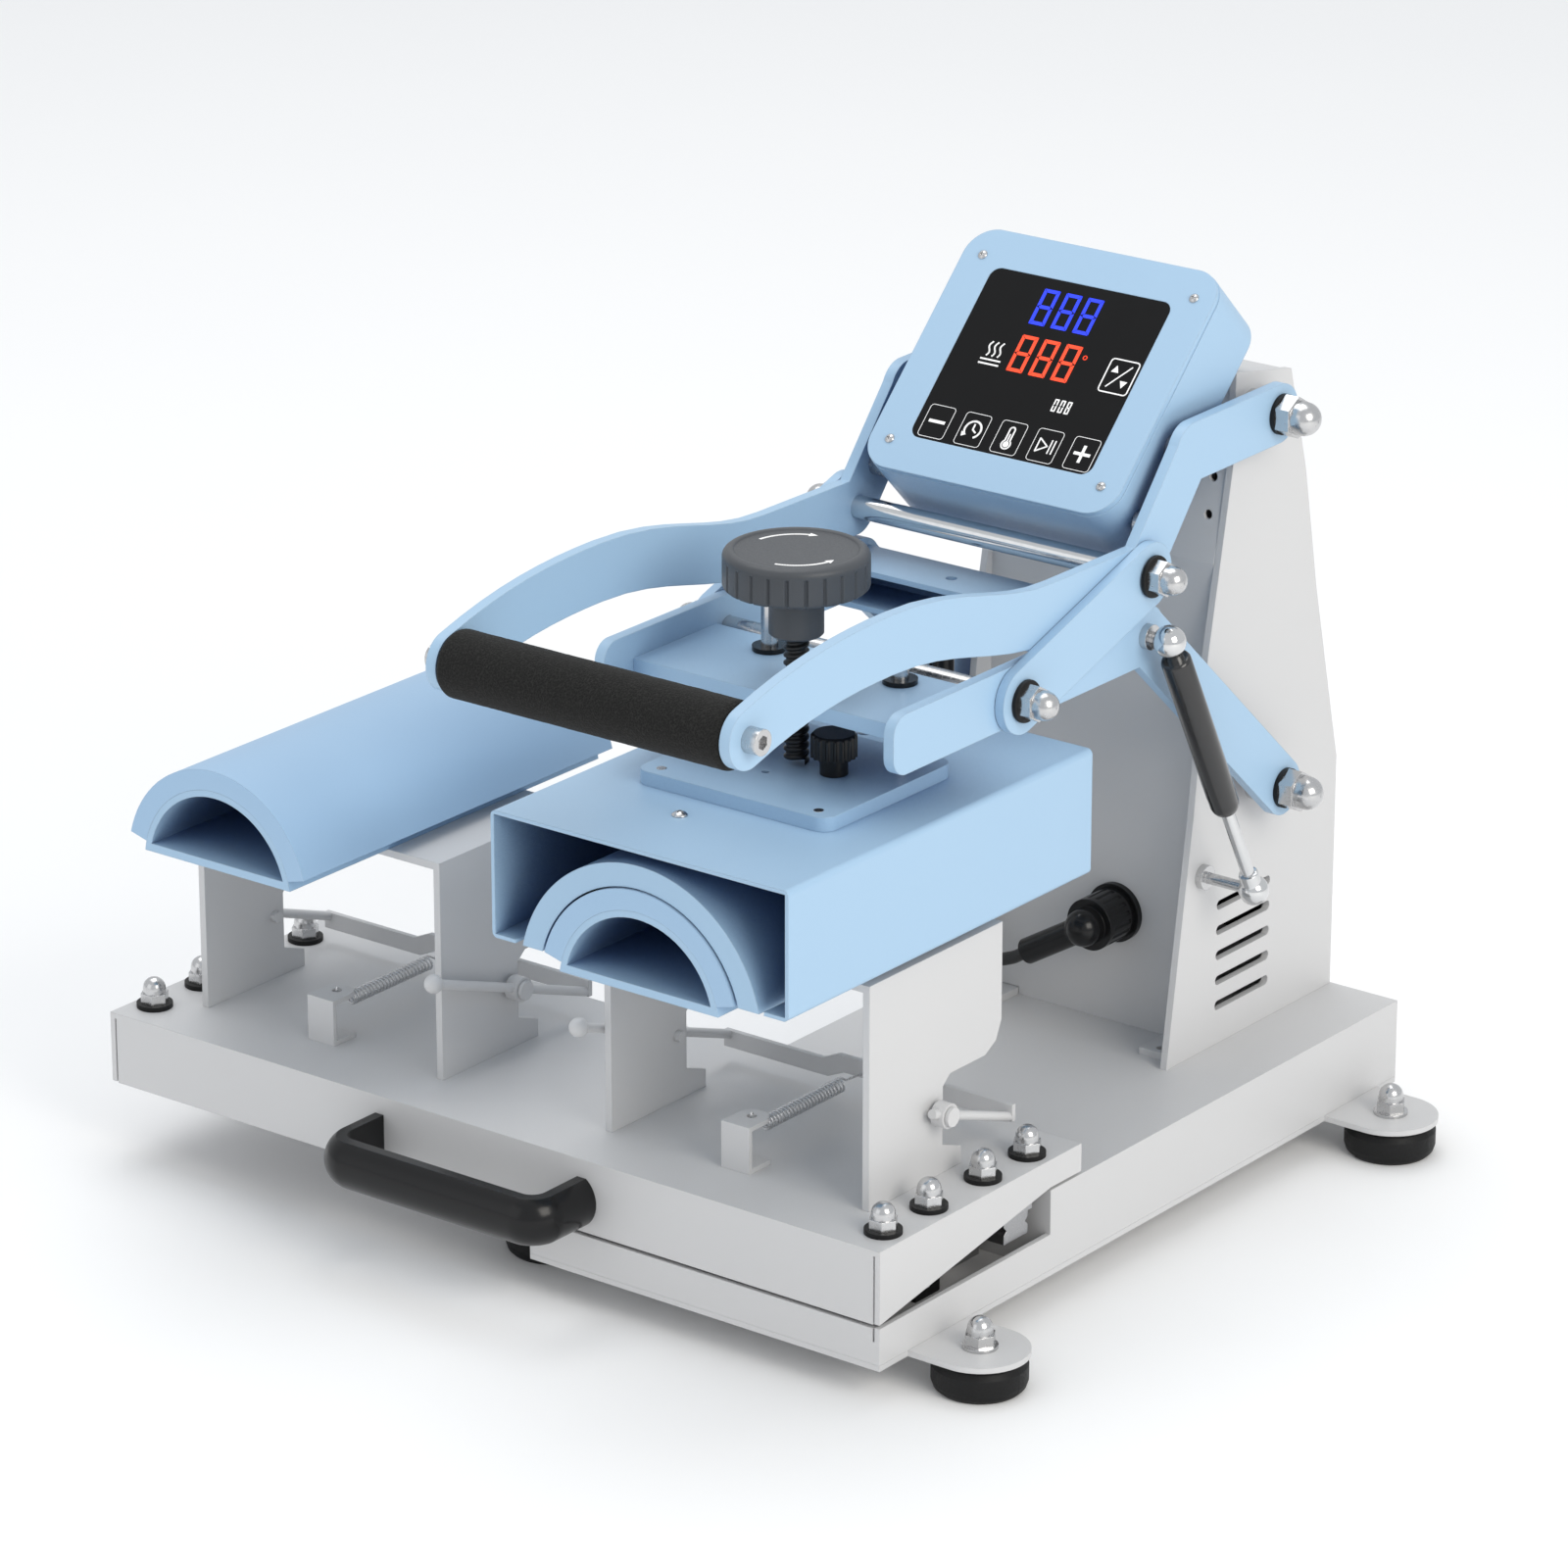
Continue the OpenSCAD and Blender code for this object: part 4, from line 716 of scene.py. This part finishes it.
profile = []
for i in range(7):
    turn = math.pi / 2 * i / 6
    profile.append((grip_radius - ROUND_END * (1 - math.sin(turn)), ROUND_END * (1 - math.cos(turn))))
middle = [
    (grip_radius, ROUND_END + (grip_length - 2 * ROUND_END) * i / GRIP_RINGS) for i in range(1, GRIP_RINGS)
]
profile = profile + middle + [(r, grip_length - z) for r, z in reversed(profile)]
bm = bmesh.new()
lathe(bm, profile, 72)
for vert in bm.verts:
    radial = Vector((vert.co.x, vert.co.y, 0))
    if radial.length > 1e-6:
        wave = noise.noise(Vector((vert.co.x, vert.co.y, vert.co.z)) * 110)
        crumb = noise.noise(Vector((vert.co.x, vert.co.y, vert.co.z)) * 900 + Vector((7, 3, 1)))
        vert.co -= radial.normalized() * (0.00012 + 0.00012 * wave + 0.00008 * crumb)
bmesh.ops.rotate(bm, verts=bm.verts[:], cent=(0, 0, 0), matrix=Matrix.Rotation(math.pi / 2, 3, "Y"))
bmesh.ops.translate(bm, verts=bm.verts[:], vec=(grip_low.x, grip_centre.y, grip_centre.z))
foam_sleeve = finish_piece("foam_sleeve", bm, "foam", "lever", ["foam_grip"], sharp=60)

# %% [markdown]
# ## Pressure knob
# The knob is a flat disc on a round hub, with a raised rim round a slightly sunk top and twenty-four narrow
# grooves in its side. It is turned first, as a stack of circles. Then the points of the side that lie
# within a degree or two of a groove are pushed in, which cuts the grooves with no booleans.

# %% Pressure knob
knob_low, knob_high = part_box("pressure_screw")
SCREW_Y = 84 * MM
KNOB_TOP = knob_high.z
KNOB_RADIUS = 36 * MM
KNOB_HEIGHT = 19.6 * MM
HUB_RADIUS = 13.5 * MM
HUB_BOTTOM = 347 * MM
SUNK = 0.9 * MM
GROOVES = 24
GROOVE_DEPTH = 1.3 * MM
GROOVE_HALF_ANGLE = math.radians(1.6)

rim = KNOB_TOP - KNOB_HEIGHT
knob_profile = [
    (HUB_RADIUS - 1.0 * MM, HUB_BOTTOM),
    (HUB_RADIUS, HUB_BOTTOM + 1.0 * MM),
    (HUB_RADIUS, rim - 1.0 * MM),
    (HUB_RADIUS + 0.8 * MM, rim - 0.2 * MM),
    (HUB_RADIUS + 1.6 * MM, rim),
    (KNOB_RADIUS - 2.4 * MM, rim),
    (KNOB_RADIUS - 1.2 * MM, rim + 0.3 * MM),
    (KNOB_RADIUS - 0.4 * MM, rim + 1.0 * MM),
    (KNOB_RADIUS, rim + 2.0 * MM),
    (KNOB_RADIUS, KNOB_TOP - 5.6 * MM),
    (KNOB_RADIUS, KNOB_TOP - 4.6 * MM),
    (KNOB_RADIUS, KNOB_TOP - 3.4 * MM),
    (KNOB_RADIUS - 0.3 * MM, KNOB_TOP - 2.4 * MM),
    (KNOB_RADIUS - 1.0 * MM, KNOB_TOP - 1.3 * MM),
    (KNOB_RADIUS - 2.2 * MM, KNOB_TOP - 0.4 * MM),
    (KNOB_RADIUS - 3.6 * MM, KNOB_TOP),
    (KNOB_RADIUS - 4.8 * MM, KNOB_TOP),
    (KNOB_RADIUS - 5.4 * MM, KNOB_TOP - 0.3 * MM),
    (KNOB_RADIUS - 5.9 * MM, KNOB_TOP - SUNK),
    (KNOB_RADIUS - 7.0 * MM, KNOB_TOP - SUNK),
]
bm = bmesh.new()
lathe(bm, knob_profile, GROOVES * 24)
groove_top = KNOB_TOP - 5.0 * MM
for vert in bm.verts:
    radius = math.hypot(vert.co.x, vert.co.y)
    if radius > KNOB_RADIUS - 3 * MM and vert.co.z < groove_top:
        turn = math.atan2(vert.co.y, vert.co.x) % (2 * math.pi / GROOVES)
        away = min(turn, 2 * math.pi / GROOVES - turn) / GROOVE_HALF_ANGLE
        pushed = radius - GROOVE_DEPTH * max(0.0, 1.0 - away**2)
        vert.co.x *= pushed / radius
        vert.co.y *= pushed / radius
bmesh.ops.translate(bm, verts=bm.verts[:], vec=(0, SCREW_Y, 0))
pressure_knob = finish_piece(
    "pressure_knob", bm, "grey_plastic", "pressure_screw", ["pressure_screw"], sharp=30
)

# %% [markdown]
# ## Pressure screw
# The thread is a true helix: one tooth's profile is spun about the axis and moved up a little at every
# step, so that each turn meets the next. Merging the doubled points makes it one skin.

# %% Pressure screw
THREAD_TOP = HUB_BOTTOM + 2 * MM
THREAD_PITCH = 4 * MM
THREAD_RADIUS = 6.35 * MM
THREAD_DEPTH = 1.25 * MM
THREAD_STEPS = 48
thread_bottom = knob_low.z
thread_turns = int((THREAD_TOP - thread_bottom) / THREAD_PITCH) - 1

bm = bmesh.new()
tooth = [
    (THREAD_RADIUS - THREAD_DEPTH, 0.0),
    (THREAD_RADIUS - 0.15 * MM, 0.22),
    (THREAD_RADIUS, 0.28),
    (THREAD_RADIUS, 0.5),
    (THREAD_RADIUS - 0.15 * MM, 0.56),
    (THREAD_RADIUS - THREAD_DEPTH, 0.78),
    (THREAD_RADIUS - THREAD_DEPTH, 1.0),
]
points = [bm.verts.new((r, 0, thread_bottom + share * THREAD_PITCH)) for r, share in tooth]
edges = [bm.edges.new((a, b)) for a, b in zip(points, points[1:])]
bmesh.ops.spin(
    bm,
    geom=points + edges,
    cent=(0, 0, 0),
    axis=(0, 0, 1),
    dvec=(0, 0, THREAD_PITCH / THREAD_STEPS),
    angle=2 * math.pi * thread_turns,
    steps=THREAD_STEPS * thread_turns,
    use_merge=False,
)
bmesh.ops.remove_doubles(bm, verts=bm.verts[:], dist=2e-6)
bmesh.ops.holes_fill(bm, edges=[edge for edge in bm.edges if edge.is_boundary], sides=0)
bmesh.ops.translate(bm, verts=bm.verts[:], vec=(0, SCREW_Y, 0))
finish_piece("pressure_thread", bm, "black_oxide", "pressure_screw", sharp=30)

# %% [markdown]
# ## Gas spring
# A gas spring between the right head arm and the column carries the head's weight. It has a black
# enamelled tube, a polished rod, and a chrome ball socket at each end. All four are turned shapes: each
# profile is spun about Z, and then one matrix lays them along the line between the two ball studs.

# %% Gas spring
GAS_TOP = mm(105, 250, 319.5)
GAS_LOW = mm(105, 331, 163)
gas_line = GAS_LOW - GAS_TOP
GAS_LENGTH = gas_line.length / MM
along_gas = Matrix.Translation(GAS_TOP) @ Vector((0, 0, 1)).rotation_difference(gas_line).to_matrix().to_4x4()


def ball(radius, centre, start, end, steps=14):
    """Profile points of a ball between two heights, in millimetres."""
    heights = [start + (end - start) * (1 - math.cos(math.pi * i / steps)) / 2 for i in range(steps + 1)]
    return [(math.sqrt(max(radius**2 - (h - centre) ** 2, 0.04)), h) for h in heights]


def turned_on_gas(name, profile, material, body, node):
    """A shape turned about the gas spring's line, from a profile in millimetres."""
    bm = bmesh.new()
    lathe(bm, [(r * MM, z * MM) for r, z in profile], 40)
    bmesh.ops.transform(bm, matrix=along_gas, verts=bm.verts[:])
    return finish_piece(name, bm, material, body, [node])


turned_on_gas(
    "gas_upper_socket",
    ball(8.4, 0, -8.4, 6.2) + [(5.2, 6.8), (4.7, 7.6), (4.7, 12.6)],
    "chrome", "gas_cylinder", "gas_cylinder",
)
turned_on_gas(
    "gas_tube",
    [(4.6, 11.6), (6.4, 11.6), (7.3, 12.2), (7.8, 13.4), (7.8, 106), (7.6, 107.5), (7.6, 113), (7.2, 115.5),
     (6.2, 117.4), (4.4, 118), (3.7, 118)],
    "black_enamel", "gas_cylinder", "gas_cylinder",
)
turned_on_gas("gas_piston_rod", [(3.3, 100), (3.5, 100.3), (3.5, GAS_LENGTH - 8)], "chrome", "gas_rod", "gas_rod")
turned_on_gas(
    "gas_lower_socket",
    [(3.6, GAS_LENGTH - 13), (4.9, GAS_LENGTH - 12.4), (5.2, GAS_LENGTH - 11.6), (5.2, GAS_LENGTH - 6.4)]
    + ball(7.9, GAS_LENGTH, GAS_LENGTH - 5.8, GAS_LENGTH + 7.9),
    "chrome", "gas_rod", "gas_rod",
)

# %% [markdown]
# ## Rubber rings
# Thick rubber rings sit behind the nuts of the links, as they do behind the nuts of the two main pivots.
# They are turned too: a squat ring with rounded rims that covers the plain washer of the frame.

# %% Rubber rings
RING_OUT, RING_IN, RING_DEEP = 10.8, 7.6, 2.8


def rubber_ring(bm, x, y, z, side):
    """A ring about X whose inner face is at x, on the side given by 1 or -1."""
    section = [
        (RING_IN, 0), (RING_OUT - 0.8, 0), (RING_OUT - 0.2, 0.3), (RING_OUT, 0.9), (RING_OUT, RING_DEEP - 0.9),
        (RING_OUT - 0.2, RING_DEEP - 0.3), (RING_OUT - 0.8, RING_DEEP), (RING_IN, RING_DEEP),
    ]
    points = [bm.verts.new(mm(x + side * h, y + r, z)) for r, h in section]
    edges = [bm.edges.new((a, b)) for a, b in zip(points, points[1:] + points[:1])]
    bmesh.ops.spin(bm, geom=points + edges, cent=mm(x, y, z), axis=(1, 0, 0), angle=2 * math.pi, steps=40,
                   use_merge=True)


washer_faces = {"link_top_rings": ("lever", 246, 353, 96.8), "link_low_rings": ("links", 139, 318, 96.5)}
for name, (body, y, z, x) in washer_faces.items():
    bm = bmesh.new()
    for side in (1, -1):
        rubber_ring(bm, side * x, y, z, side)
    finish_piece(name, bm, "black_rubber", body)

# %% [markdown]
# ## Printed marks
# The knob carries two curved arrows, and the display its keys and digits. All of them are thin plates: a
# flat outline of a few points, extruded by a fraction of a millimetre. A helper draws a plate, one draws
# a stroke along a line, and one runs a stroke round the closed outline of a key.

# %% Plate helpers
PRINT_THICKNESS = 0.12


def plate(bm, outline, low=0.0, high=PRINT_THICKNESS):
    """A thin plate with the given flat outline, in millimetres, counter-clockwise."""
    face = bm.faces.new([bm.verts.new((x, y, low)) for x, y in outline])
    made = bmesh.ops.extrude_face_region(bm, geom=[face])["geom"]
    tops = [item for item in made if isinstance(item, bmesh.types.BMVert)]
    bmesh.ops.translate(bm, verts=tops, vec=(0, 0, high - low))


def stroke(bm, points, width):
    """A line of even width along points, as short plates that overlap at the joints."""
    for (x0, y0), (x1, y1) in zip(points, points[1:]):
        length = math.hypot(x1 - x0, y1 - y0)
        ux, uy = (x1 - x0) / length, (y1 - y0) / length
        reach = width * 0.25
        px, py = -uy * width / 2, ux * width / 2
        ax, ay = x0 - ux * reach, y0 - uy * reach
        bx, by = x1 + ux * reach, y1 + uy * reach
        plate(bm, [(ax - px, ay - py), (bx - px, by - py), (bx + px, by + py), (ax + px, ay + py)])


def arc(cx, cy, radius, start, end, steps):
    """Points of an arc, in degrees."""
    turns = [math.radians(start + (end - start) * i / steps) for i in range(steps + 1)]
    return [(cx + radius * math.cos(turn), cy + radius * math.sin(turn)) for turn in turns]


def disc(bm, cx, cy, radius, segments=20):
    plate(bm, arc(cx, cy, radius, 0, 360 * (segments - 1) / segments, segments - 1))


def key_frame(bm, cx, cy, width, height, line=0.55, corner=1.8):
    """A thin frame with round corners: one stroke along a closed outline."""
    corners = [(1, 1, 0), (-1, 1, 90), (-1, -1, 180), (1, -1, 270)]
    outline = []
    for sx, sy, start in corners:
        outline += arc(cx + sx * (width / 2 - corner), cy + sy * (height / 2 - corner), corner, start, start + 90, 5)
    stroke(bm, outline + outline[:1], line)


def place_print(bm, matrix):
    """Takes a print from millimetres in its own plane to metres in the frame."""
    bmesh.ops.transform(bm, matrix=matrix @ Matrix.Scale(MM, 4), verts=bm.verts[:])


# %% [markdown]
# ## Arrows on the knob
# Two white arrows curve over the top of the knob, one for each way that it turns. Each is an arc of short
# strokes with a triangular head.

# %% Knob arrows
ARROW_RADIUS = 24.0
ARROW_WIDTH = 1.5
bm = bmesh.new()
for start, end in ((174, 111), (-77, -13)):
    stroke(bm, arc(0, 0, ARROW_RADIUS, start, end, 20), ARROW_WIDTH)
    way = 1 if end > start else -1
    base, tip = math.radians(end - 1 * way), math.radians(end + 9 * way)
    corners = [
        (ARROW_RADIUS * math.cos(tip), ARROW_RADIUS * math.sin(tip)),
        ((ARROW_RADIUS + 2.3) * math.cos(base), (ARROW_RADIUS + 2.3) * math.sin(base)),
        ((ARROW_RADIUS - 2.3) * math.cos(base), (ARROW_RADIUS - 2.3) * math.sin(base)),
    ]
    plate(bm, corners[::-1] if way > 0 else corners)
place_print(bm, Matrix.Translation((0, SCREW_Y, KNOB_TOP - SUNK - 0.02 * MM)))
finish_piece("knob_arrows", bm, "white_print", "pressure_screw", smooth=False)

# %% [markdown]
# ## Display
# The face is tilted by forty-five degrees. A matrix takes points on the face, across and up the slope, to
# the frame. The digits are seven-segment figures, each segment a six-sided plate with pointed ends. Below
# them is a row of five framed touch keys: less, timer, temperature, start or pause, and more.

# %% Display
FACE_EDGE = mm(0, 234.4, 381.4)
FACE_TILT = math.radians(45)
SCREEN_LEVEL = -0.2
on_face = Matrix.Translation(FACE_EDGE) @ Matrix.Rotation(FACE_TILT, 4, "X") @ Matrix.Translation(
    (0, 0, SCREEN_LEVEL * MM)
)
ROW_ZERO = 16.4


def figure_eight(bm, x, y, width, height, line, middle=True):
    """A seven-segment figure with its low left corner at x, y: an eight, or a nought with no middle bar."""
    gap = line * 0.09
    left, right, low, high = x, x + width, y, y + height
    mid = (low + high) / 2
    half = line / 2
    plate(bm, [(left + gap, low), (right - gap, low), (right - line - gap, low + line), (left + line + gap, low + line)])
    plate(bm, [(left + line + gap, high - line), (right - line - gap, high - line), (right - gap, high), (left + gap, high)])
    for start, end in ((low, mid), (mid, high)):
        lower_cut = line if start == low else half
        upper_cut = line if end == high else half
        plate(bm, [(left, start + gap), (left + line, start + lower_cut + gap), (left + line, end - upper_cut - gap),
                   (left, end - gap)])
        plate(bm, [(right, start + gap), (right, end - gap), (right - line, end - upper_cut - gap),
                   (right - line, start + lower_cut + gap)])
    if middle:
        plate(bm, [
            (left + half + gap, mid), (left + line + gap, mid - half), (right - line - gap, mid - half),
            (right - half - gap, mid), (right - line - gap, mid + half), (left + line + gap, mid + half),
        ])


def row_of_figures(bm, left, right, low, high, line, pattern):
    """Evenly spaced figures between left and right; pattern says which have a middle bar."""
    gap = line * 1.9
    width = (right - left - gap * (len(pattern) - 1)) / len(pattern)
    for i, middle in enumerate(pattern):
        figure_eight(bm, left + i * (width + gap), ROW_ZERO + low, width, high - low, line, middle)


bm = bmesh.new()
row_of_figures(bm, -20, 16.5, 78.6, 99.5, 2.0, (True, True, True))
place_print(bm, on_face)
finish_piece("display_time", bm, "blue_light", "lever", smooth=False)

bm = bmesh.new()
row_of_figures(bm, -19.5, 17.5, 50.7, 72, 2.0, (True, True, True))
stroke(bm, arc(21.3, ROW_ZERO + 66.5, 1.1, 0, 360, 12), 0.5)
place_print(bm, on_face)
finish_piece("display_temperature", bm, "red_light", "lever", smooth=False)

# %% [markdown]
# ## Keys and small signs
# Everything printed in white is one piece: the counter's figures, the sign for heat, the framed sign that
# swaps the units, and the keys.

# %% Keys
KEY_CENTRES = [-43.4, -21.1, 1.2, 23.5, 45.8]
KEY_WIDTH, KEY_DEPTH = 15.4, 18.4
key_row = ROW_ZERO + 14.8
bm = bmesh.new()
row_of_figures(bm, 16.5, 27, 34, 41.2, 0.75, (False, False, True))
for x in KEY_CENTRES:
    key_frame(bm, x, key_row, KEY_WIDTH, KEY_DEPTH, 0.28)
less, timer, heat, start, more = KEY_CENTRES
stroke(bm, [(less - 4.5, key_row), (less + 4.5, key_row)], 1.7)
stroke(bm, [(more - 4.5, key_row), (more + 4.5, key_row)], 1.7)
stroke(bm, [(more, key_row - 4.5), (more, key_row + 4.5)], 1.7)
# timer: a broken ring with an arrow head, and two hands
stroke(bm, arc(timer, key_row, 4.8, -60, 215, 26), 1.1)
plate(bm, [(timer - 5.8, key_row - 1.8), (timer - 2.6, key_row - 3.2), (timer - 5.2, key_row - 4.6)])
stroke(bm, [(timer, key_row + 3), (timer, key_row), (timer + 2.2, key_row - 1.4)], 0.9)
# temperature: a thin glass tube with a full bulb
stroke(bm, arc(heat, key_row + 4.6, 1.5, 0, 180, 10), 0.85)
stroke(bm, [(heat - 1.5, key_row + 4.6), (heat - 1.5, key_row - 1.8)], 0.85)
stroke(bm, [(heat + 1.5, key_row + 4.6), (heat + 1.5, key_row - 1.8)], 0.85)
stroke(bm, arc(heat, key_row - 3.8, 2.6, 125, 415, 22), 0.85)
disc(bm, heat, key_row - 3.8, 1.7)
stroke(bm, [(heat, key_row - 3), (heat, key_row + 2)], 0.7)
# start or pause: a hollow triangle and two bars
stroke(bm, [(start - 4.6, key_row - 3.8), (start - 4.6, key_row + 3.8), (start + 1.2, key_row),
            (start - 4.6, key_row - 3.8)], 0.75)
stroke(bm, [(start + 2.8, key_row - 3.8), (start + 2.8, key_row + 3.8)], 0.7)
stroke(bm, [(start + 4.9, key_row - 3.8), (start + 4.9, key_row + 3.8)], 0.7)
# heat: three waves over two bars
for x in (-34.6, -31.2, -27.8):
    waves = [(x + 0.8 * math.sin(k * math.pi / 6), ROW_ZERO + 56.6 + k * 0.62) for k in range(14)]
    stroke(bm, waves, 0.9)
for level in (54.4, 51.9):
    stroke(bm, [(-37, ROW_ZERO + level), (-25, ROW_ZERO + level)], 0.9)
# unit change: a framed pair of triangles about a slanted line
unit_x, unit_y = 45.2, ROW_ZERO + 60.2
key_frame(bm, unit_x, unit_y, 17, 19, 0.7)
stroke(bm, [(unit_x - 5, unit_y - 6.5), (unit_x + 5, unit_y + 6.5)], 0.7)
plate(bm, [(unit_x - 6, unit_y + 2), (unit_x - 1.6, unit_y + 2), (unit_x - 3.8, unit_y + 6)])
plate(bm, [(unit_x + 1.6, unit_y - 2), (unit_x + 3.8, unit_y - 6), (unit_x + 6, unit_y - 2)])
place_print(bm, on_face)
finish_piece("display_keys", bm, "white_print", "lever", smooth=False)

# %% [markdown]
# ## Mains inlet
# Behind, the inlet's recess has three flat blades. They are small bars with bevelled ends.

# %% Inlet blades
inlet_low, inlet_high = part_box("power_entry")
INLET_CENTRE = mm(-26, 0, 108)
BLADES = [(-7, -3), (7, -3), (0, 3.5)]
bm = bmesh.new()
for dx, dz in BLADES:
    blade = bmesh.ops.create_cube(bm, size=1)["verts"]
    bmesh.ops.scale(bm, verts=blade, vec=(2 * MM, 14 * MM, 4.5 * MM))
    bmesh.ops.translate(
        bm, verts=blade, vec=(INLET_CENTRE.x + dx * MM, inlet_high.y - 14.4 * MM, INLET_CENTRE.z + dz * MM)
    )
bmesh.ops.bevel(
    bm, geom=bm.edges[:], offset=0.5 * MM, segments=2, profile=0.5, affect="EDGES", material=-1, offset_type="OFFSET"
)
finish_piece("inlet_blades", bm, "bright_steel", "root")

# %% [markdown]
# ## Floor and light
# The press stands on a plain pale floor that runs up to the horizon. One large soft light from the right
# front makes the right faces the brightest, a weaker one fills from the left, and a pale sky softens the
# shadows.

# %% Floor and light
tree, shader = new_material("pale_floor")
place = add_node(tree, "ShaderNodeTexCoord").outputs["Object"]
floor_noise = add_node(tree, "ShaderNodeTexNoise", {"Vector": place, "Scale": 3.0, "Detail": 3.0})
floor_tone = add_node(
    tree,
    "ShaderNodeMix",
    {"Factor": floor_noise.outputs["Fac"], 6: (0.95, 0.95, 0.95, 1), 7: (0.935, 0.935, 0.94, 1)},
    data_type="RGBA",
)
tree.links.new(floor_tone.outputs[2], shader.inputs["Base Color"])
set_shader(shader, {"Roughness": 0.75})

bm = bmesh.new()
bmesh.ops.create_grid(bm, x_segments=1, y_segments=1, size=12)
floor_mesh = bpy.data.meshes.new("floor")
bm.to_mesh(floor_mesh)
bm.free()
floor = bpy.data.objects.new("floor", floor_mesh)
floor_mesh.materials.append(MATERIALS["pale_floor"])
bpy.context.scene.collection.objects.link(floor)

object_centre = (cad_low + cad_high) / 2


def soft_light(name, place, size, power, tint=(1, 1, 1)):
    """A square area light that points at the middle of the press."""
    data = bpy.data.lights.new(name, "AREA")
    data.size = size
    data.energy = power
    data.color = tint
    light = bpy.data.objects.new(name, data)
    light.location = place
    light.rotation_mode = "QUATERNION"
    light.rotation_quaternion = (object_centre - Vector(place)).to_track_quat("-Z", "Y")
    bpy.context.scene.collection.objects.link(light)


soft_light("key_light", (2.6, -0.5, 1.7), 1.6, 42, (1.0, 0.96, 0.89))
soft_light("front_fill", (-1.2, -3.0, 1.4), 2.4, 8)
soft_light("top_light", (-0.9, 0.6, 3.1), 2.2, 30)

world = bpy.data.worlds.new("studio")
world.use_nodes = True
background = world.node_tree.nodes["Background"]
background.inputs["Color"].default_value = (0.95, 0.975, 1.0, 1.0)
background.inputs["Strength"].default_value = 0.76
bpy.context.scene.world = world
bpy.context.scene.view_settings.view_transform = "Standard"
